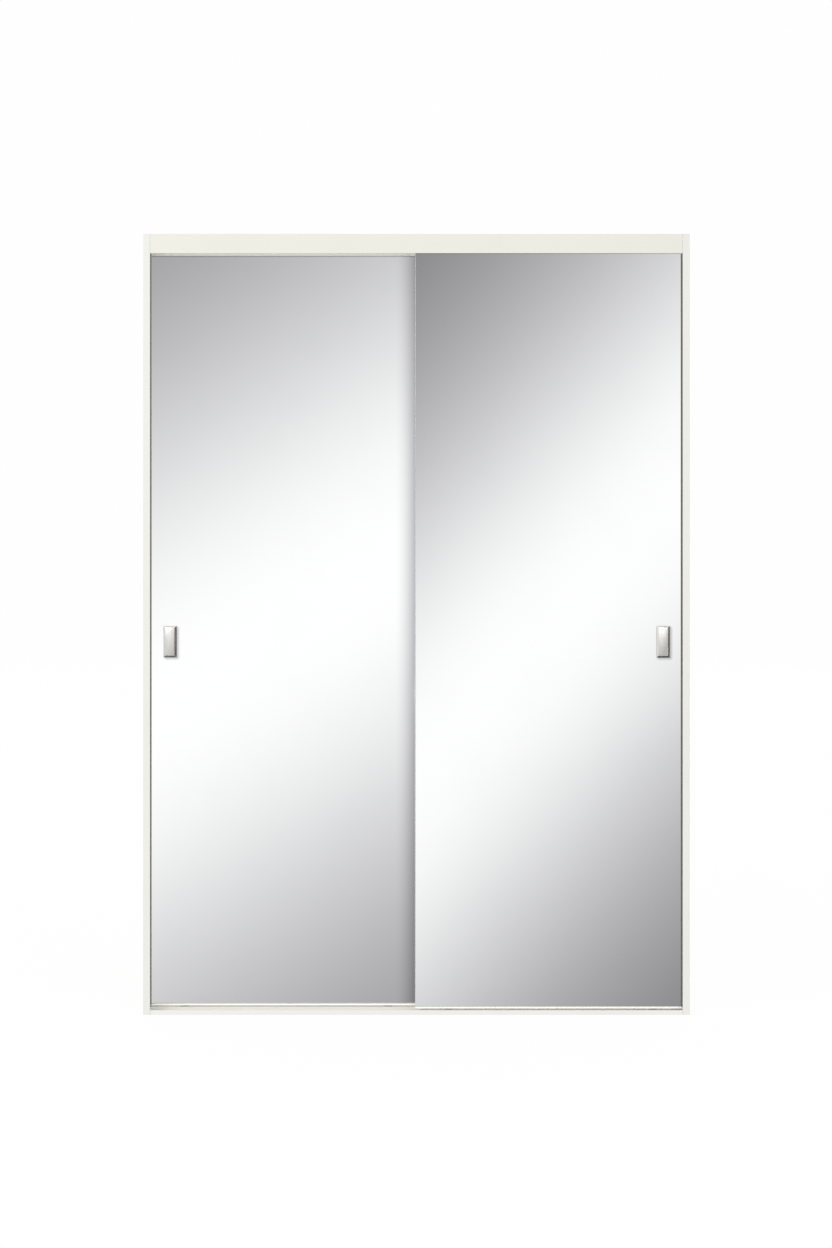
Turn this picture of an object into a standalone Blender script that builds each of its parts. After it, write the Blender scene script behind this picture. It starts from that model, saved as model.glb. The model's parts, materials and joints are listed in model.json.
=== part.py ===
"""Two mirrored closet doors that pass each other in a shallow aluminium frame.

Sizes are in millimetres and become metres as each mesh is made. X runs along the tracks, Y runs from the room into the
closet and Z is up. The origin lies on the floor under the middle of the frame. The front door closes to the right and
the rear door to the left. A door's own pieces are drawn round the middle of its width and of its channel.
"""

import math

import bmesh
import bpy
from mathutils import Vector

MM = 0.001
SEAT = 0.3

# Frame: head track, sill track and jambs
FRAME_WIDTH = 1470.0
FRAME_HEIGHT = 2100.0
CHANNEL_WIDTH = 40.0
TRACK_WALL = 2.0
TRACK_EDGE_RADIUS = 0.8
FASCIA_HEIGHT = 52.0
DIVIDER_DROP = 51.2
HEAD_REAR_DROP = 45.0
SILL_LIP_HEIGHT = 12.4
SILL_REAR_LIP_HEIGHT = 10.0
SILL_DIVIDER_HEIGHT = 13.6
RIDGE_HEIGHT = 8.0
RIDGE_WIDTH = 3.0
JAMB_FACE = 19.0
JAMB_RETURN = 5.0
JAMB_REAR_FLANGE = 12.0
JAMB_CORNER_RADIUS = 1.6
FIXING_HOLE_RADIUS = 2.5
FIXING_HOLE_INSET = 150.0
FIXING_HOLE_PITCH = 420.0
STRIP_THICKNESS = 3.5
STRIP_WIDTH = 12.0
STRIP_END_GAP = 2.0
BRUSH_WIDTH = 2.6
BRUSH_TIP_WIDTH = 1.6

# Doors: how they lie in the frame
DOOR_OVERLAP = 6.2
REAR_DOOR_GAP = 8.9
HEAD_ROOM = 26.0

# Glass and its backing
GLASS_THICKNESS = 4.0
GLASS_SETBACK = 0.5
BOARD_PLAY = 0.5
TAPE_WIDTH = 14.0
TAPE_INSET = 3.0

# Rails and stiles behind the glass
RAIL_GROOVE = 12.0
RAIL_WALL = 2.0
POCKET_DEPTH = 13.0
TOE_HEIGHT = 5.4
TOE_WALL = 1.8
TOE_EDGE_RADIUS = 0.6
STILE_WIDTH = 22.0
STILE_WALL = 1.5
PORT_INSET = 5.0
PORT_WALL = 2.2
PORT_SLIT = 1.6

# Screws
SCREW_RADIUS = 2.0
SCREW_HEAD_RADIUS = 4.0
SCREW_HEAD_HEIGHT = 2.2
SCREW_HEAD_SIDE = 1.3
SCREW_HEAD_FLAT = 2.8
SCREW_POINT_LENGTH = 1.0
SCREW_POINT_RADIUS = 1.0
SCREW_BITE = 20.0

# Top guides
GUIDE_GROOVE_DEPTH = 15.0
GUIDE_INSET = 60.0
GUIDE_LENGTH = 50.0
GUIDE_NECK = 2.0
GUIDE_HEAD_HEIGHT = 16.0
GUIDE_RUN_CLEARANCE = 0.4
GUIDE_END_RADIUS = 8.0

# Rollers
ROLLER_INSET = 90.0
ROLLER_TRAVEL = 4.0
AXLE_RISE = 4.8
AXLE_RADIUS = 2.5
WHEEL_RUN_RADIUS = 11.5
WHEEL_RIM_RADIUS = 13.5
WHEEL_RIM_WIDTH = 6.4
WHEEL_GROOVE_WIDTH = 4.6
WHEEL_HUB_RADIUS = 5.4
WHEEL_WEB_OUTER_RADIUS = 9.4
WHEEL_WEB_WIDTH = 3.6
WHEEL_ROOM = 0.7
BRACKET_LENGTH = 60.0
BRACKET_SHEET = 1.8
BRACKET_SHOULDER_DROP = 2.0
BRACKET_TAB_RADIUS = 5.5
BRACKET_CORNER_RADIUS = 3.0
CLAMP_OFFSET = 21.0
CLAMP_RISE = 7.2

# Finger pulls
PULL_WIDTH = 36.0
PULL_HEIGHT = 86.0
PULL_DEPTH = 8.0
PULL_RIM = 1.5
PULL_BEVEL = 5.0
PULL_CROWN = 1.6
PULL_EDGE_RADIUS = 0.4
PULL_MIDDLE_Z = 1003.0
FRONT_PULL_INSET = 64.6
REAR_PULL_INSET = 51.2
PAD_THICKNESS = 0.8
PAD_MARGIN = 4.0
PAD_CORNER_RADIUS = 3.0

# Facets of round shapes
CORNER_STEPS = 3
ARC_STEPS = 12
SCREW_STEPS = 16
WHEEL_STEPS = 32
GROOVE_STEPS = 6
CROWN_ROWS = 8
CUT_MARGIN = 1.0

# Worked out: frame
FRAME_DEPTH = 2 * CHANNEL_WIDTH + 3 * TRACK_WALL
FRONT = -FRAME_DEPTH / 2
REAR = FRAME_DEPTH / 2
HALF_WIDTH = FRAME_WIDTH / 2
JAMB_INNER = HALF_WIDTH - JAMB_FACE
CHANNEL_OFFSET = (CHANNEL_WIDTH + TRACK_WALL) / 2
TRACK_HALF_LENGTH = HALF_WIDTH - TRACK_WALL - SEAT
FASCIA_BOTTOM = FRAME_HEIGHT - FASCIA_HEIGHT
STRIP_FACE = TRACK_HALF_LENGTH - STRIP_THICKNESS
STRIP_BOTTOM = SILL_LIP_HEIGHT + STRIP_END_GAP
STRIP_TOP = FASCIA_BOTTOM - STRIP_END_GAP

# Worked out: door widths and places
DOOR_STOP = STRIP_FACE - SEAT
DOOR_WIDTH = DOOR_STOP + DOOR_OVERLAP / 2
DOOR_EDGE = DOOR_WIDTH / 2
FRONT_DOOR_X = DOOR_STOP - DOOR_EDGE
REAR_DOOR_X = REAR_DOOR_GAP - DOOR_STOP + DOOR_EDGE

# Worked out: heights, from the running ridge up and from the head down
AXLE_Z = RIDGE_HEIGHT + SEAT + WHEEL_RUN_RADIUS
DOOR_BOTTOM = AXLE_Z - AXLE_RISE
BRACKET_RISE = WHEEL_RIM_RADIUS + WHEEL_ROOM + BRACKET_SHEET
GROOVE_CEILING = AXLE_Z + BRACKET_RISE + ROLLER_TRAVEL + SEAT
LOWER_POCKET_FLOOR = GROOVE_CEILING + RAIL_WALL
BOTTOM_RAIL_TOP = LOWER_POCKET_FLOOR + POCKET_DEPTH
TOE_TOP = DOOR_BOTTOM + TOE_HEIGHT
DOOR_TOP = FRAME_HEIGHT - TRACK_WALL - HEAD_ROOM
GUIDE_GROOVE_FLOOR = DOOR_TOP - GUIDE_GROOVE_DEPTH
UPPER_POCKET_CEILING = GUIDE_GROOVE_FLOOR - RAIL_WALL
TOP_RAIL_BOTTOM = UPPER_POCKET_CEILING - POCKET_DEPTH
GLASS_BOTTOM = TOE_TOP + SEAT
GLASS_TOP = DOOR_TOP - TOE_WALL - SEAT

# Worked out: depths in a door, from the middle of its channel
GROOVE_SIDE = RAIL_GROOVE / 2
RAIL_SIDE = GROOVE_SIDE + RAIL_WALL
GLASS_BACK = -RAIL_SIDE - SEAT
GLASS_FRONT = GLASS_BACK - GLASS_THICKNESS
BRUSH_TIP = GLASS_FRONT - CHANNEL_OFFSET - SEAT
STILE_SIDE = GROOVE_SIDE - SEAT
STILE_POCKET_SIDE = STILE_SIDE - STILE_WALL
BOARD_SIDE = STILE_POCKET_SIDE - SEAT
BRACKET_SIDE = GROOVE_SIDE - SEAT
BRACKET_INNER_SIDE = BRACKET_SIDE - BRACKET_SHEET
SCREW_HOLE_RADIUS = SCREW_RADIUS + SEAT
AXLE_HOLE_RADIUS = AXLE_RADIUS + SEAT
PORT_END = PORT_INSET + SCREW_HOLE_RADIUS + PORT_WALL


def clear_scene():
    for old in list(bpy.data.objects):
        bpy.data.objects.remove(old)


def finish(name, colour, roughness, metallic):
    """Make one plain surface finish."""
    material = bpy.data.materials.new(name)
    material.use_nodes = True
    shader = material.node_tree.nodes["Principled BSDF"]
    shader.inputs["Base Color"].default_value = (*colour, 1.0)
    shader.inputs["Roughness"].default_value = roughness
    shader.inputs["Metallic"].default_value = metallic
    return material


def arc(centre, radius, start, end, steps):
    """Return points on an arc of a circle, both ends included."""
    angles = [start + (end - start) * step / steps for step in range(steps + 1)]
    return [(centre[0] + radius * math.cos(a), centre[1] + radius * math.sin(a)) for a in angles]


def rounded(corners):
    """Return an outline in which each corner given as (a, b, radius) has become an arc."""
    outline = []
    for index, corner in enumerate(corners):
        here = Vector(corner[:2])
        if len(corner) == 2:
            outline.append(tuple(here))
            continue
        before = (Vector(corners[index - 1][:2]) - here).normalized()
        after = (Vector(corners[(index + 1) % len(corners)][:2]) - here).normalized()
        half_angle = before.angle(after) / 2
        reach = corner[2] / math.tan(half_angle)
        centre = here + (before + after).normalized() * corner[2] / math.sin(half_angle)
        first = here + before * reach - centre
        last = here + after * reach - centre
        start = math.atan2(first.y, first.x)
        turn = math.remainder(math.atan2(last.y, last.x) - start, math.tau)
        outline += arc(centre, corner[2], start, start + turn, CORNER_STEPS)
    return outline


def rectangle(low, high, radius=None):
    """Return a rectangle between two corners, with round corners where a radius is given."""
    corners = [(low[0], low[1]), (high[0], low[1]), (high[0], high[1]), (low[0], high[1])]
    if radius is None:
        return corners
    return rounded([(*corner, radius) for corner in corners])


def slot(low, high, radius):
    """Return an upright slot whose round ends have their centres at two points, one above the other."""
    lower_end = arc(low, radius, math.pi, math.tau, ARC_STEPS)
    upper_end = arc(high, radius, 0.0, math.pi, ARC_STEPS)
    return lower_end + upper_end


def circle(centre, radius):
    return arc(centre, radius, 0.0, math.tau * (ARC_STEPS - 1) / ARC_STEPS, ARC_STEPS - 1)


def prism(outline, start, end, axis):
    """Extrude a closed outline along X, Y or Z. Its pairs lie on the two other axes, in X, Y, Z order."""
    bm = bmesh.new()
    place = "XYZ".index(axis)
    ring = []
    for pair in outline:
        point = list(pair)
        point.insert(place, start)
        ring.append(bm.verts.new(point))
    face = bm.faces.new(ring)
    extruded = bmesh.ops.extrude_face_region(bm, geom=[face])
    moved = [item for item in extruded["geom"] if isinstance(item, bmesh.types.BMVert)]
    step = [0.0, 0.0, 0.0]
    step[place] = end - start
    bmesh.ops.translate(bm, vec=step, verts=moved)
    bmesh.ops.recalc_face_normals(bm, faces=bm.faces)
    return bm


def turned(profile, axis, steps, closed=False):
    """Spin a profile of (radius, station) pairs round Y or Z. A closed profile goes round a bore."""
    bm = bmesh.new()
    spin_axis = Vector((0.0, 1.0, 0.0)) if axis == "Y" else Vector((0.0, 0.0, 1.0))
    verts = [bm.verts.new(Vector((radius, 0.0, 0.0)) + spin_axis * station) for radius, station in profile]
    pairs = list(zip(verts, verts[1:]))
    if closed:
        pairs.append((verts[-1], verts[0]))
    edges = [bm.edges.new(pair) for pair in pairs]
    bmesh.ops.spin(bm, geom=verts + edges, cent=(0, 0, 0), axis=spin_axis, angle=math.tau, steps=steps, use_merge=True)
    bmesh.ops.remove_doubles(bm, verts=bm.verts, dist=SEAT / 100)
    bmesh.ops.recalc_face_normals(bm, faces=bm.faces)
    return bm


def add_object(name, bm, material, parent, place=(0.0, 0.0, 0.0), smooth=False):
    """Turn a millimetre mesh into a named object in metres."""
    bmesh.ops.scale(bm, vec=(MM, MM, MM), verts=bm.verts)
    mesh = bpy.data.meshes.new(name)
    bm.to_mesh(mesh)
    bm.free()
    if smooth:
        mesh.shade_smooth()
        mesh.set_sharp_from_angle(angle=math.radians(30))
    obj = bpy.data.objects.new(name, mesh)
    bpy.context.scene.collection.objects.link(obj)
    if material:
        mesh.materials.append(material)
    obj.parent = parent
    obj.location = Vector(place) * MM
    return obj


def add_empty(name, place, parent=None):
    """Make a plain axis mark that carries the pieces moving with it."""
    empty = bpy.data.objects.new(name, None)
    bpy.context.scene.collection.objects.link(empty)
    empty.parent = parent
    empty.location = Vector(place) * MM
    return empty


def cut(target, shapes, name):
    """Cut shapes, drawn in the target's own millimetres, out of the target."""
    joined = bmesh.new()
    for shape in shapes:
        part = bpy.data.meshes.new(name)
        shape.to_mesh(part)
        shape.free()
        joined.from_mesh(part)
        bpy.data.meshes.remove(part)
    cutter = add_object(name, joined, None, target.parent, target.location / MM)
    cutter.hide_render = True
    cutter.display_type = "WIRE"
    modifier = target.modifiers.new(name, "BOOLEAN")
    modifier.operation = "DIFFERENCE"
    modifier.solver = "EXACT"
    modifier.object = cutter


def hole_stations(length):
    """Return fixing hole stations, centred along a length, as many as the pitch allows."""
    count = int((length - 2 * FIXING_HOLE_INSET) // FIXING_HOLE_PITCH) + 1
    first = (length - (count - 1) * FIXING_HOLE_PITCH) / 2
    return [first + index * FIXING_HOLE_PITCH for index in range(count)]


def cope_track(track, name):
    """Notch the four corners of a track so that the jambs' flanges pass them, and drill its fixing holes."""
    front_reach = JAMB_INNER - SEAT
    rear_reach = HALF_WIDTH - JAMB_REAR_FLANGE - SEAT
    notches = []
    for side in (-1, 1):
        outer = side * (HALF_WIDTH + CUT_MARGIN)
        front_low = (side * front_reach, FRONT - CUT_MARGIN)
        front_high = (outer, FRONT + JAMB_RETURN + SEAT)
        rear_low = (side * rear_reach, REAR - TRACK_WALL - SEAT)
        rear_high = (outer, REAR + CUT_MARGIN)
        notches.append(prism(rectangle(front_low, front_high), -CUT_MARGIN, FRAME_HEIGHT + CUT_MARGIN, "Z"))
        notches.append(prism(rectangle(rear_low, rear_high), -CUT_MARGIN, FRAME_HEIGHT + CUT_MARGIN, "Z"))
    cut(track, notches, name + "_notches")


def build_head_track(coat):
    """Head track: fascia, top web, divider and rear wall in one extrusion, open below."""
    top = FRAME_HEIGHT
    web = FRAME_HEIGHT - TRACK_WALL
    middle = TRACK_WALL / 2
    divider = FRAME_HEIGHT - DIVIDER_DROP
    rear = FRAME_HEIGHT - HEAD_REAR_DROP
    outline = rounded([
        (FRONT, FASCIA_BOTTOM, TRACK_EDGE_RADIUS),
        (FRONT, top, TRACK_EDGE_RADIUS),
        (REAR, top, TRACK_EDGE_RADIUS),
        (REAR, rear),
        (REAR - TRACK_WALL, rear),
        (REAR - TRACK_WALL, web),
        (middle, web),
        (middle, divider),
        (-middle, divider),
        (-middle, web),
        (FRONT + TRACK_WALL, web),
        (FRONT + TRACK_WALL, FASCIA_BOTTOM, TRACK_EDGE_RADIUS),
    ])
    track = add_object("head_track", prism(outline, -TRACK_HALF_LENGTH, TRACK_HALF_LENGTH, "X"), coat, None)
    cope_track(track, "head_track")
    holes = []
    for station in hole_stations(2 * TRACK_HALF_LENGTH):
        for side in (-1, 1):
            centre = (station - TRACK_HALF_LENGTH, side * CHANNEL_OFFSET)
            holes.append(prism(circle(centre, FIXING_HOLE_RADIUS), web - CUT_MARGIN, top + CUT_MARGIN, "Z"))
    cut(track, holes, "head_track_holes")


def ridge(middle):
    """Return the outline of a round running ridge on the sill's base."""
    half_ridge = RIDGE_WIDTH / 2
    crown = arc((middle, RIDGE_HEIGHT - half_ridge), half_ridge, math.pi, 0.0, ARC_STEPS)
    return [(middle - half_ridge, TRACK_WALL), *crown, (middle + half_ridge, TRACK_WALL)]


def build_sill_track(coat):
    """Sill track: front lip, two round running ridges with a divider between them, and rear lip in one extrusion."""
    middle = TRACK_WALL / 2
    outline = rounded([
        (FRONT, 0.0),
        (FRONT, SILL_LIP_HEIGHT, TRACK_EDGE_RADIUS),
        (FRONT + TRACK_WALL, SILL_LIP_HEIGHT, TRACK_EDGE_RADIUS),
        (FRONT + TRACK_WALL, TRACK_WALL),
        *ridge(-CHANNEL_OFFSET),
        (-middle, TRACK_WALL),
        (-middle, SILL_DIVIDER_HEIGHT, TRACK_EDGE_RADIUS),
        (middle, SILL_DIVIDER_HEIGHT, TRACK_EDGE_RADIUS),
        (middle, TRACK_WALL),
        *ridge(CHANNEL_OFFSET),
        (REAR - TRACK_WALL, TRACK_WALL),
        (REAR - TRACK_WALL, SILL_REAR_LIP_HEIGHT, TRACK_EDGE_RADIUS),
        (REAR, SILL_REAR_LIP_HEIGHT, TRACK_EDGE_RADIUS),
        (REAR, 0.0),
    ])
    track = add_object("sill_track", prism(outline, -TRACK_HALF_LENGTH, TRACK_HALF_LENGTH, "X"), coat, None)
    cope_track(track, "sill_track")
    holes = []
    for station in hole_stations(2 * TRACK_HALF_LENGTH):
        for side in (-1, 1):
            centre = (station - TRACK_HALF_LENGTH, side * CHANNEL_OFFSET / 2)
            holes.append(prism(circle(centre, FIXING_HOLE_RADIUS), -CUT_MARGIN, TRACK_WALL + CUT_MARGIN, "Z"))
    cut(track, holes, "sill_track_holes")


def build_jamb(side_name, side, coat):
    """Jamb: a channel with a wide face towards the room, a stiffening return and a short rear flange."""
    outer = side * HALF_WIDTH
    web = side * (HALF_WIDTH - TRACK_WALL)
    face = side * JAMB_INNER
    face_inner = side * (JAMB_INNER + TRACK_WALL)
    rear = side * (HALF_WIDTH - JAMB_REAR_FLANGE)
    outline = rounded([
        (outer, FRONT, JAMB_CORNER_RADIUS),
        (face, FRONT, JAMB_CORNER_RADIUS),
        (face, FRONT + JAMB_RETURN),
        (face_inner, FRONT + JAMB_RETURN),
        (face_inner, FRONT + TRACK_WALL),
        (web, FRONT + TRACK_WALL),
        (web, REAR - TRACK_WALL),
        (rear, REAR - TRACK_WALL),
        (rear, REAR),
        (outer, REAR, JAMB_CORNER_RADIUS),
    ])
    jamb = add_object(side_name + "_jamb", prism(outline, 0.0, FRAME_HEIGHT, "Z"), coat, None)
    holes = []
    for station in hole_stations(FRAME_HEIGHT):
        start = web - side * CUT_MARGIN
        holes.append(prism(circle((0.0, station), FIXING_HOLE_RADIUS), start, outer + side * CUT_MARGIN, "X"))
    cut(jamb, holes, side_name + "_jamb_holes")


def build_pile_strip(name, side, channel_y, pile):
    """Pile strip: the soft buffer on a jamb's web where a door closes."""
    low = (side * STRIP_FACE, channel_y - STRIP_WIDTH / 2)
    high = (side * TRACK_HALF_LENGTH, channel_y + STRIP_WIDTH / 2)
    add_object(name, prism(rectangle(low, high), STRIP_BOTTOM, STRIP_TOP, "Z"), pile, None)


def build_jamb_brush(name, side, pile):
    """Jamb brush: pile on the inner face of a jamb's return, tapering back to the front door's glass."""
    back = JAMB_INNER - SEAT
    root = FRONT + JAMB_CORNER_RADIUS
    outline = [
        (side * back, root),
        (side * (back - BRUSH_WIDTH), root),
        (side * (back - BRUSH_WIDTH), FRONT + JAMB_RETURN),
        (side * (back - BRUSH_TIP_WIDTH), BRUSH_TIP),
        (side * back, BRUSH_TIP),
    ]
    add_object(name, prism(outline, GLASS_BOTTOM, FASCIA_BOTTOM - SEAT, "Z"), pile, None)


def build_glass(name, door, silver):
    """Mirror pane, standing on the bottom rail's toe."""
    edge = DOOR_EDGE - GLASS_SETBACK
    outline = rectangle((-edge, GLASS_BOTTOM), (edge, GLASS_TOP))
    add_object(name + "_mirror", prism(outline, GLASS_FRONT, GLASS_BACK, "Y"), silver, door)


def build_backing_board(name, door, board):
    """Backing board, held in the pockets of the stiles and rails."""
    edge = DOOR_EDGE - PORT_END - BOARD_PLAY
    outline = rectangle((-edge, LOWER_POCKET_FLOOR + SEAT), (edge, UPPER_POCKET_CEILING - SEAT))
    add_object(name + "_backing_board", prism(outline, -BOARD_SIDE, BOARD_SIDE, "Y"), board, door)


def build_bottom_rail(name, door, coat):
    """Bottom rail: glass toe in front, roller groove below, board pocket above."""
    outline = rounded([
        (GLASS_FRONT, DOOR_BOTTOM, TOE_EDGE_RADIUS),
        (GLASS_FRONT, TOE_TOP, TOE_EDGE_RADIUS),
        (-RAIL_SIDE, TOE_TOP),
        (-RAIL_SIDE, BOTTOM_RAIL_TOP),
        (-GROOVE_SIDE, BOTTOM_RAIL_TOP),
        (-GROOVE_SIDE, LOWER_POCKET_FLOOR),
        (GROOVE_SIDE, LOWER_POCKET_FLOOR),
        (GROOVE_SIDE, BOTTOM_RAIL_TOP),
        (RAIL_SIDE, BOTTOM_RAIL_TOP),
        (RAIL_SIDE, DOOR_BOTTOM),
        (GROOVE_SIDE, DOOR_BOTTOM),
        (GROOVE_SIDE, GROOVE_CEILING),
        (-GROOVE_SIDE, GROOVE_CEILING),
        (-GROOVE_SIDE, DOOR_BOTTOM),
        (-RAIL_SIDE, DOOR_BOTTOM),
        (-RAIL_SIDE, TOE_TOP - TOE_WALL),
        (GLASS_FRONT + TOE_WALL, TOE_TOP - TOE_WALL),
        (GLASS_FRONT + TOE_WALL, DOOR_BOTTOM),
    ])
    rail = add_object(name + "_bottom_rail", prism(outline, -DOOR_EDGE, DOOR_EDGE, "X"), coat, door)
    cuts = []
    for side in (-1, 1):
        clamp_x = side * (DOOR_EDGE - ROLLER_INSET - CLAMP_OFFSET)
        clamp_z = AXLE_Z + CLAMP_RISE
        window = slot((clamp_x, clamp_z), (clamp_x, clamp_z + ROLLER_TRAVEL), SCREW_HOLE_RADIUS)
        cuts.append(prism(window, GROOVE_SIDE - CUT_MARGIN, RAIL_SIDE + CUT_MARGIN, "Y"))
        port = circle((side * (DOOR_EDGE - PORT_INSET), 0.0), SCREW_HOLE_RADIUS)
        cuts.append(prism(port, GROOVE_CEILING - CUT_MARGIN, LOWER_POCKET_FLOOR + CUT_MARGIN, "Z"))
    cut(rail, cuts, name + "_bottom_rail_cuts")


def build_top_rail(name, door, coat):
    """Top rail: lip over the glass, guide groove above, board pocket below."""
    outline = rounded([
        (GLASS_FRONT, DOOR_TOP - TOE_WALL),
        (GLASS_FRONT, DOOR_TOP, TOE_EDGE_RADIUS),
        (-GROOVE_SIDE, DOOR_TOP),
        (-GROOVE_SIDE, GUIDE_GROOVE_FLOOR),
        (GROOVE_SIDE, GUIDE_GROOVE_FLOOR),
        (GROOVE_SIDE, DOOR_TOP),
        (RAIL_SIDE, DOOR_TOP),
        (RAIL_SIDE, TOP_RAIL_BOTTOM),
        (GROOVE_SIDE, TOP_RAIL_BOTTOM),
        (GROOVE_SIDE, UPPER_POCKET_CEILING),
        (-GROOVE_SIDE, UPPER_POCKET_CEILING),
        (-GROOVE_SIDE, TOP_RAIL_BOTTOM),
        (-RAIL_SIDE, TOP_RAIL_BOTTOM),
        (-RAIL_SIDE, DOOR_TOP - TOE_WALL),
    ])
    rail = add_object(name + "_top_rail", prism(outline, -DOOR_EDGE, DOOR_EDGE, "X"), coat, door)
    cuts = []
    for side in (-1, 1):
        port = circle((side * (DOOR_EDGE - PORT_INSET), 0.0), SCREW_HOLE_RADIUS)
        cuts.append(prism(port, UPPER_POCKET_CEILING - CUT_MARGIN, GUIDE_GROOVE_FLOOR + CUT_MARGIN, "Z"))
    cut(rail, cuts, name + "_top_rail_cuts")


def build_stile(name, side_name, side, door, coat, tape):
    """Stile: a thick web with a round screw port, and a pocket for the board. Tape on its front holds the glass."""
    slit = PORT_SLIT / 2
    mouth = math.asin(slit / SCREW_HOLE_RADIUS)
    section = [
        (0.0, -STILE_SIDE),
        (STILE_WIDTH, -STILE_SIDE),
        (STILE_WIDTH, -STILE_POCKET_SIDE),
        (PORT_END, -STILE_POCKET_SIDE),
        (PORT_END, -slit),
        *arc((PORT_INSET, 0.0), SCREW_HOLE_RADIUS, -mouth, mouth - math.tau, ARC_STEPS),
        (PORT_END, slit),
        (PORT_END, STILE_POCKET_SIDE),
        (STILE_WIDTH, STILE_POCKET_SIDE),
        (STILE_WIDTH, STILE_SIDE),
        (0.0, STILE_SIDE),
    ]
    outline = [(side * (DOOR_EDGE - inset), depth) for inset, depth in section]
    stile = prism(outline, LOWER_POCKET_FLOOR + SEAT, UPPER_POCKET_CEILING - SEAT, "Z")
    add_object(f"{name}_{side_name}_stile", stile, coat, door)
    tape_outer = DOOR_EDGE - TAPE_INSET
    low = (side * (tape_outer - TAPE_WIDTH), GLASS_BACK + SEAT)
    high = (side * tape_outer, -STILE_SIDE - SEAT)
    strip = prism(rectangle(low, high), BOTTOM_RAIL_TOP + SEAT, TOP_RAIL_BOTTOM - SEAT, "Z")
    add_object(f"{name}_{side_name}_mirror_tape", strip, tape, door)


def screw_profile(length):
    """Return the turned outline of a pan-head screw, its head's underside at station 0 and its point at length."""
    return [
        (0.0, -SCREW_HEAD_HEIGHT),
        (SCREW_HEAD_FLAT, -SCREW_HEAD_HEIGHT),
        (SCREW_HEAD_RADIUS, -SCREW_HEAD_SIDE),
        (SCREW_HEAD_RADIUS, 0.0),
        (SCREW_RADIUS, 0.0),
        (SCREW_RADIUS, length - SCREW_POINT_LENGTH),
        (SCREW_POINT_RADIUS, length),
        (0.0, length),
    ]


def build_corner_screws(name, side_name, side, door, zinc):
    """Corner screws: from each rail's groove, through the rail's web, up or down into the stile's screw port."""
    length = SEAT + RAIL_WALL + SCREW_BITE
    x = side * (DOOR_EDGE - PORT_INSET)
    profile = screw_profile(length)
    rising = turned(profile, "Z", SCREW_STEPS)
    falling = turned([(radius, -station) for radius, station in profile], "Z", SCREW_STEPS)
    low = (x, 0.0, GROOVE_CEILING - SEAT)
    high = (x, 0.0, GUIDE_GROOVE_FLOOR + SEAT)
    add_object(f"{name}_bottom_{side_name}_screw", rising, zinc, door, low, smooth=True)
    add_object(f"{name}_top_{side_name}_screw", falling, zinc, door, high, smooth=True)


def build_top_guide(name, side_name, side, door, nylon):
    """Top guide: a foot clipped in the top rail and a round-ended head that fills the head channel."""
    foot = GROOVE_SIDE - SEAT
    head = CHANNEL_WIDTH / 2 - GUIDE_RUN_CLEARANCE
    floor = GUIDE_GROOVE_FLOOR + SEAT
    neck = DOOR_TOP + GUIDE_NECK
    top = neck + GUIDE_HEAD_HEIGHT
    outline = [
        (-foot, floor),
        (foot, floor),
        (foot, neck),
        (head, neck),
        (head, top),
        (-head, top),
        (-head, neck),
        (-foot, neck),
    ]
    guide = prism(outline, -GUIDE_LENGTH / 2, GUIDE_LENGTH / 2, "X")
    corners = []
    for edge in guide.edges:
        first, last = (vert.co for vert in edge.verts)
        upright = abs(first.z - last.z) > SEAT and abs(first.x - last.x) < SEAT
        if upright and abs(first.y) > foot + SEAT and abs(last.y) > foot + SEAT:
            corners.append(edge)
    bmesh.ops.bevel(guide, geom=corners, offset=GUIDE_END_RADIUS, segments=CORNER_STEPS + 1, profile=0.5, affect="EDGES")
    place = (side * (DOOR_EDGE - GUIDE_INSET), 0.0, 0.0)
    add_object(f"{name}_{side_name}_top_guide", guide, nylon, door, place, smooth=True)


def build_roller_bracket(name, roller, inward, zinc):
    """Roller bracket: a folded carriage whose two lobed cheeks carry the axle, in the rail's groove."""
    half = BRACKET_LENGTH / 2
    shoulder = -BRACKET_SHOULDER_DROP
    lobe = math.acos(shoulder / BRACKET_TAB_RADIUS) - math.pi / 2
    outline = rounded([
        (half, BRACKET_RISE, BRACKET_CORNER_RADIUS),
        (half, shoulder, BRACKET_CORNER_RADIUS),
        *arc((0.0, 0.0), BRACKET_TAB_RADIUS, -lobe, lobe - math.pi, ARC_STEPS),
        (-half, shoulder, BRACKET_CORNER_RADIUS),
        (-half, BRACKET_RISE, BRACKET_CORNER_RADIUS),
    ])
    bracket = add_object(name + "_roller_bracket", prism(outline, -BRACKET_SIDE, BRACKET_SIDE, "Y"), zinc, roller)
    reach = half + CUT_MARGIN
    low = (-BRACKET_INNER_SIDE, -BRACKET_TAB_RADIUS - CUT_MARGIN)
    high = (BRACKET_INNER_SIDE, BRACKET_RISE - BRACKET_SHEET)
    through = BRACKET_SIDE + CUT_MARGIN
    clamp = circle((inward * CLAMP_OFFSET, CLAMP_RISE), SCREW_HOLE_RADIUS)
    cut(bracket, [prism(rectangle(low, high), -reach, reach, "X")], name + "_bracket_slot")
    holes = [
        prism(circle((0.0, 0.0), AXLE_HOLE_RADIUS), -through, through, "Y"),
        prism(clamp, 0.0, through, "Y"),
    ]
    cut(bracket, holes, name + "_bracket_holes")


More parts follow.
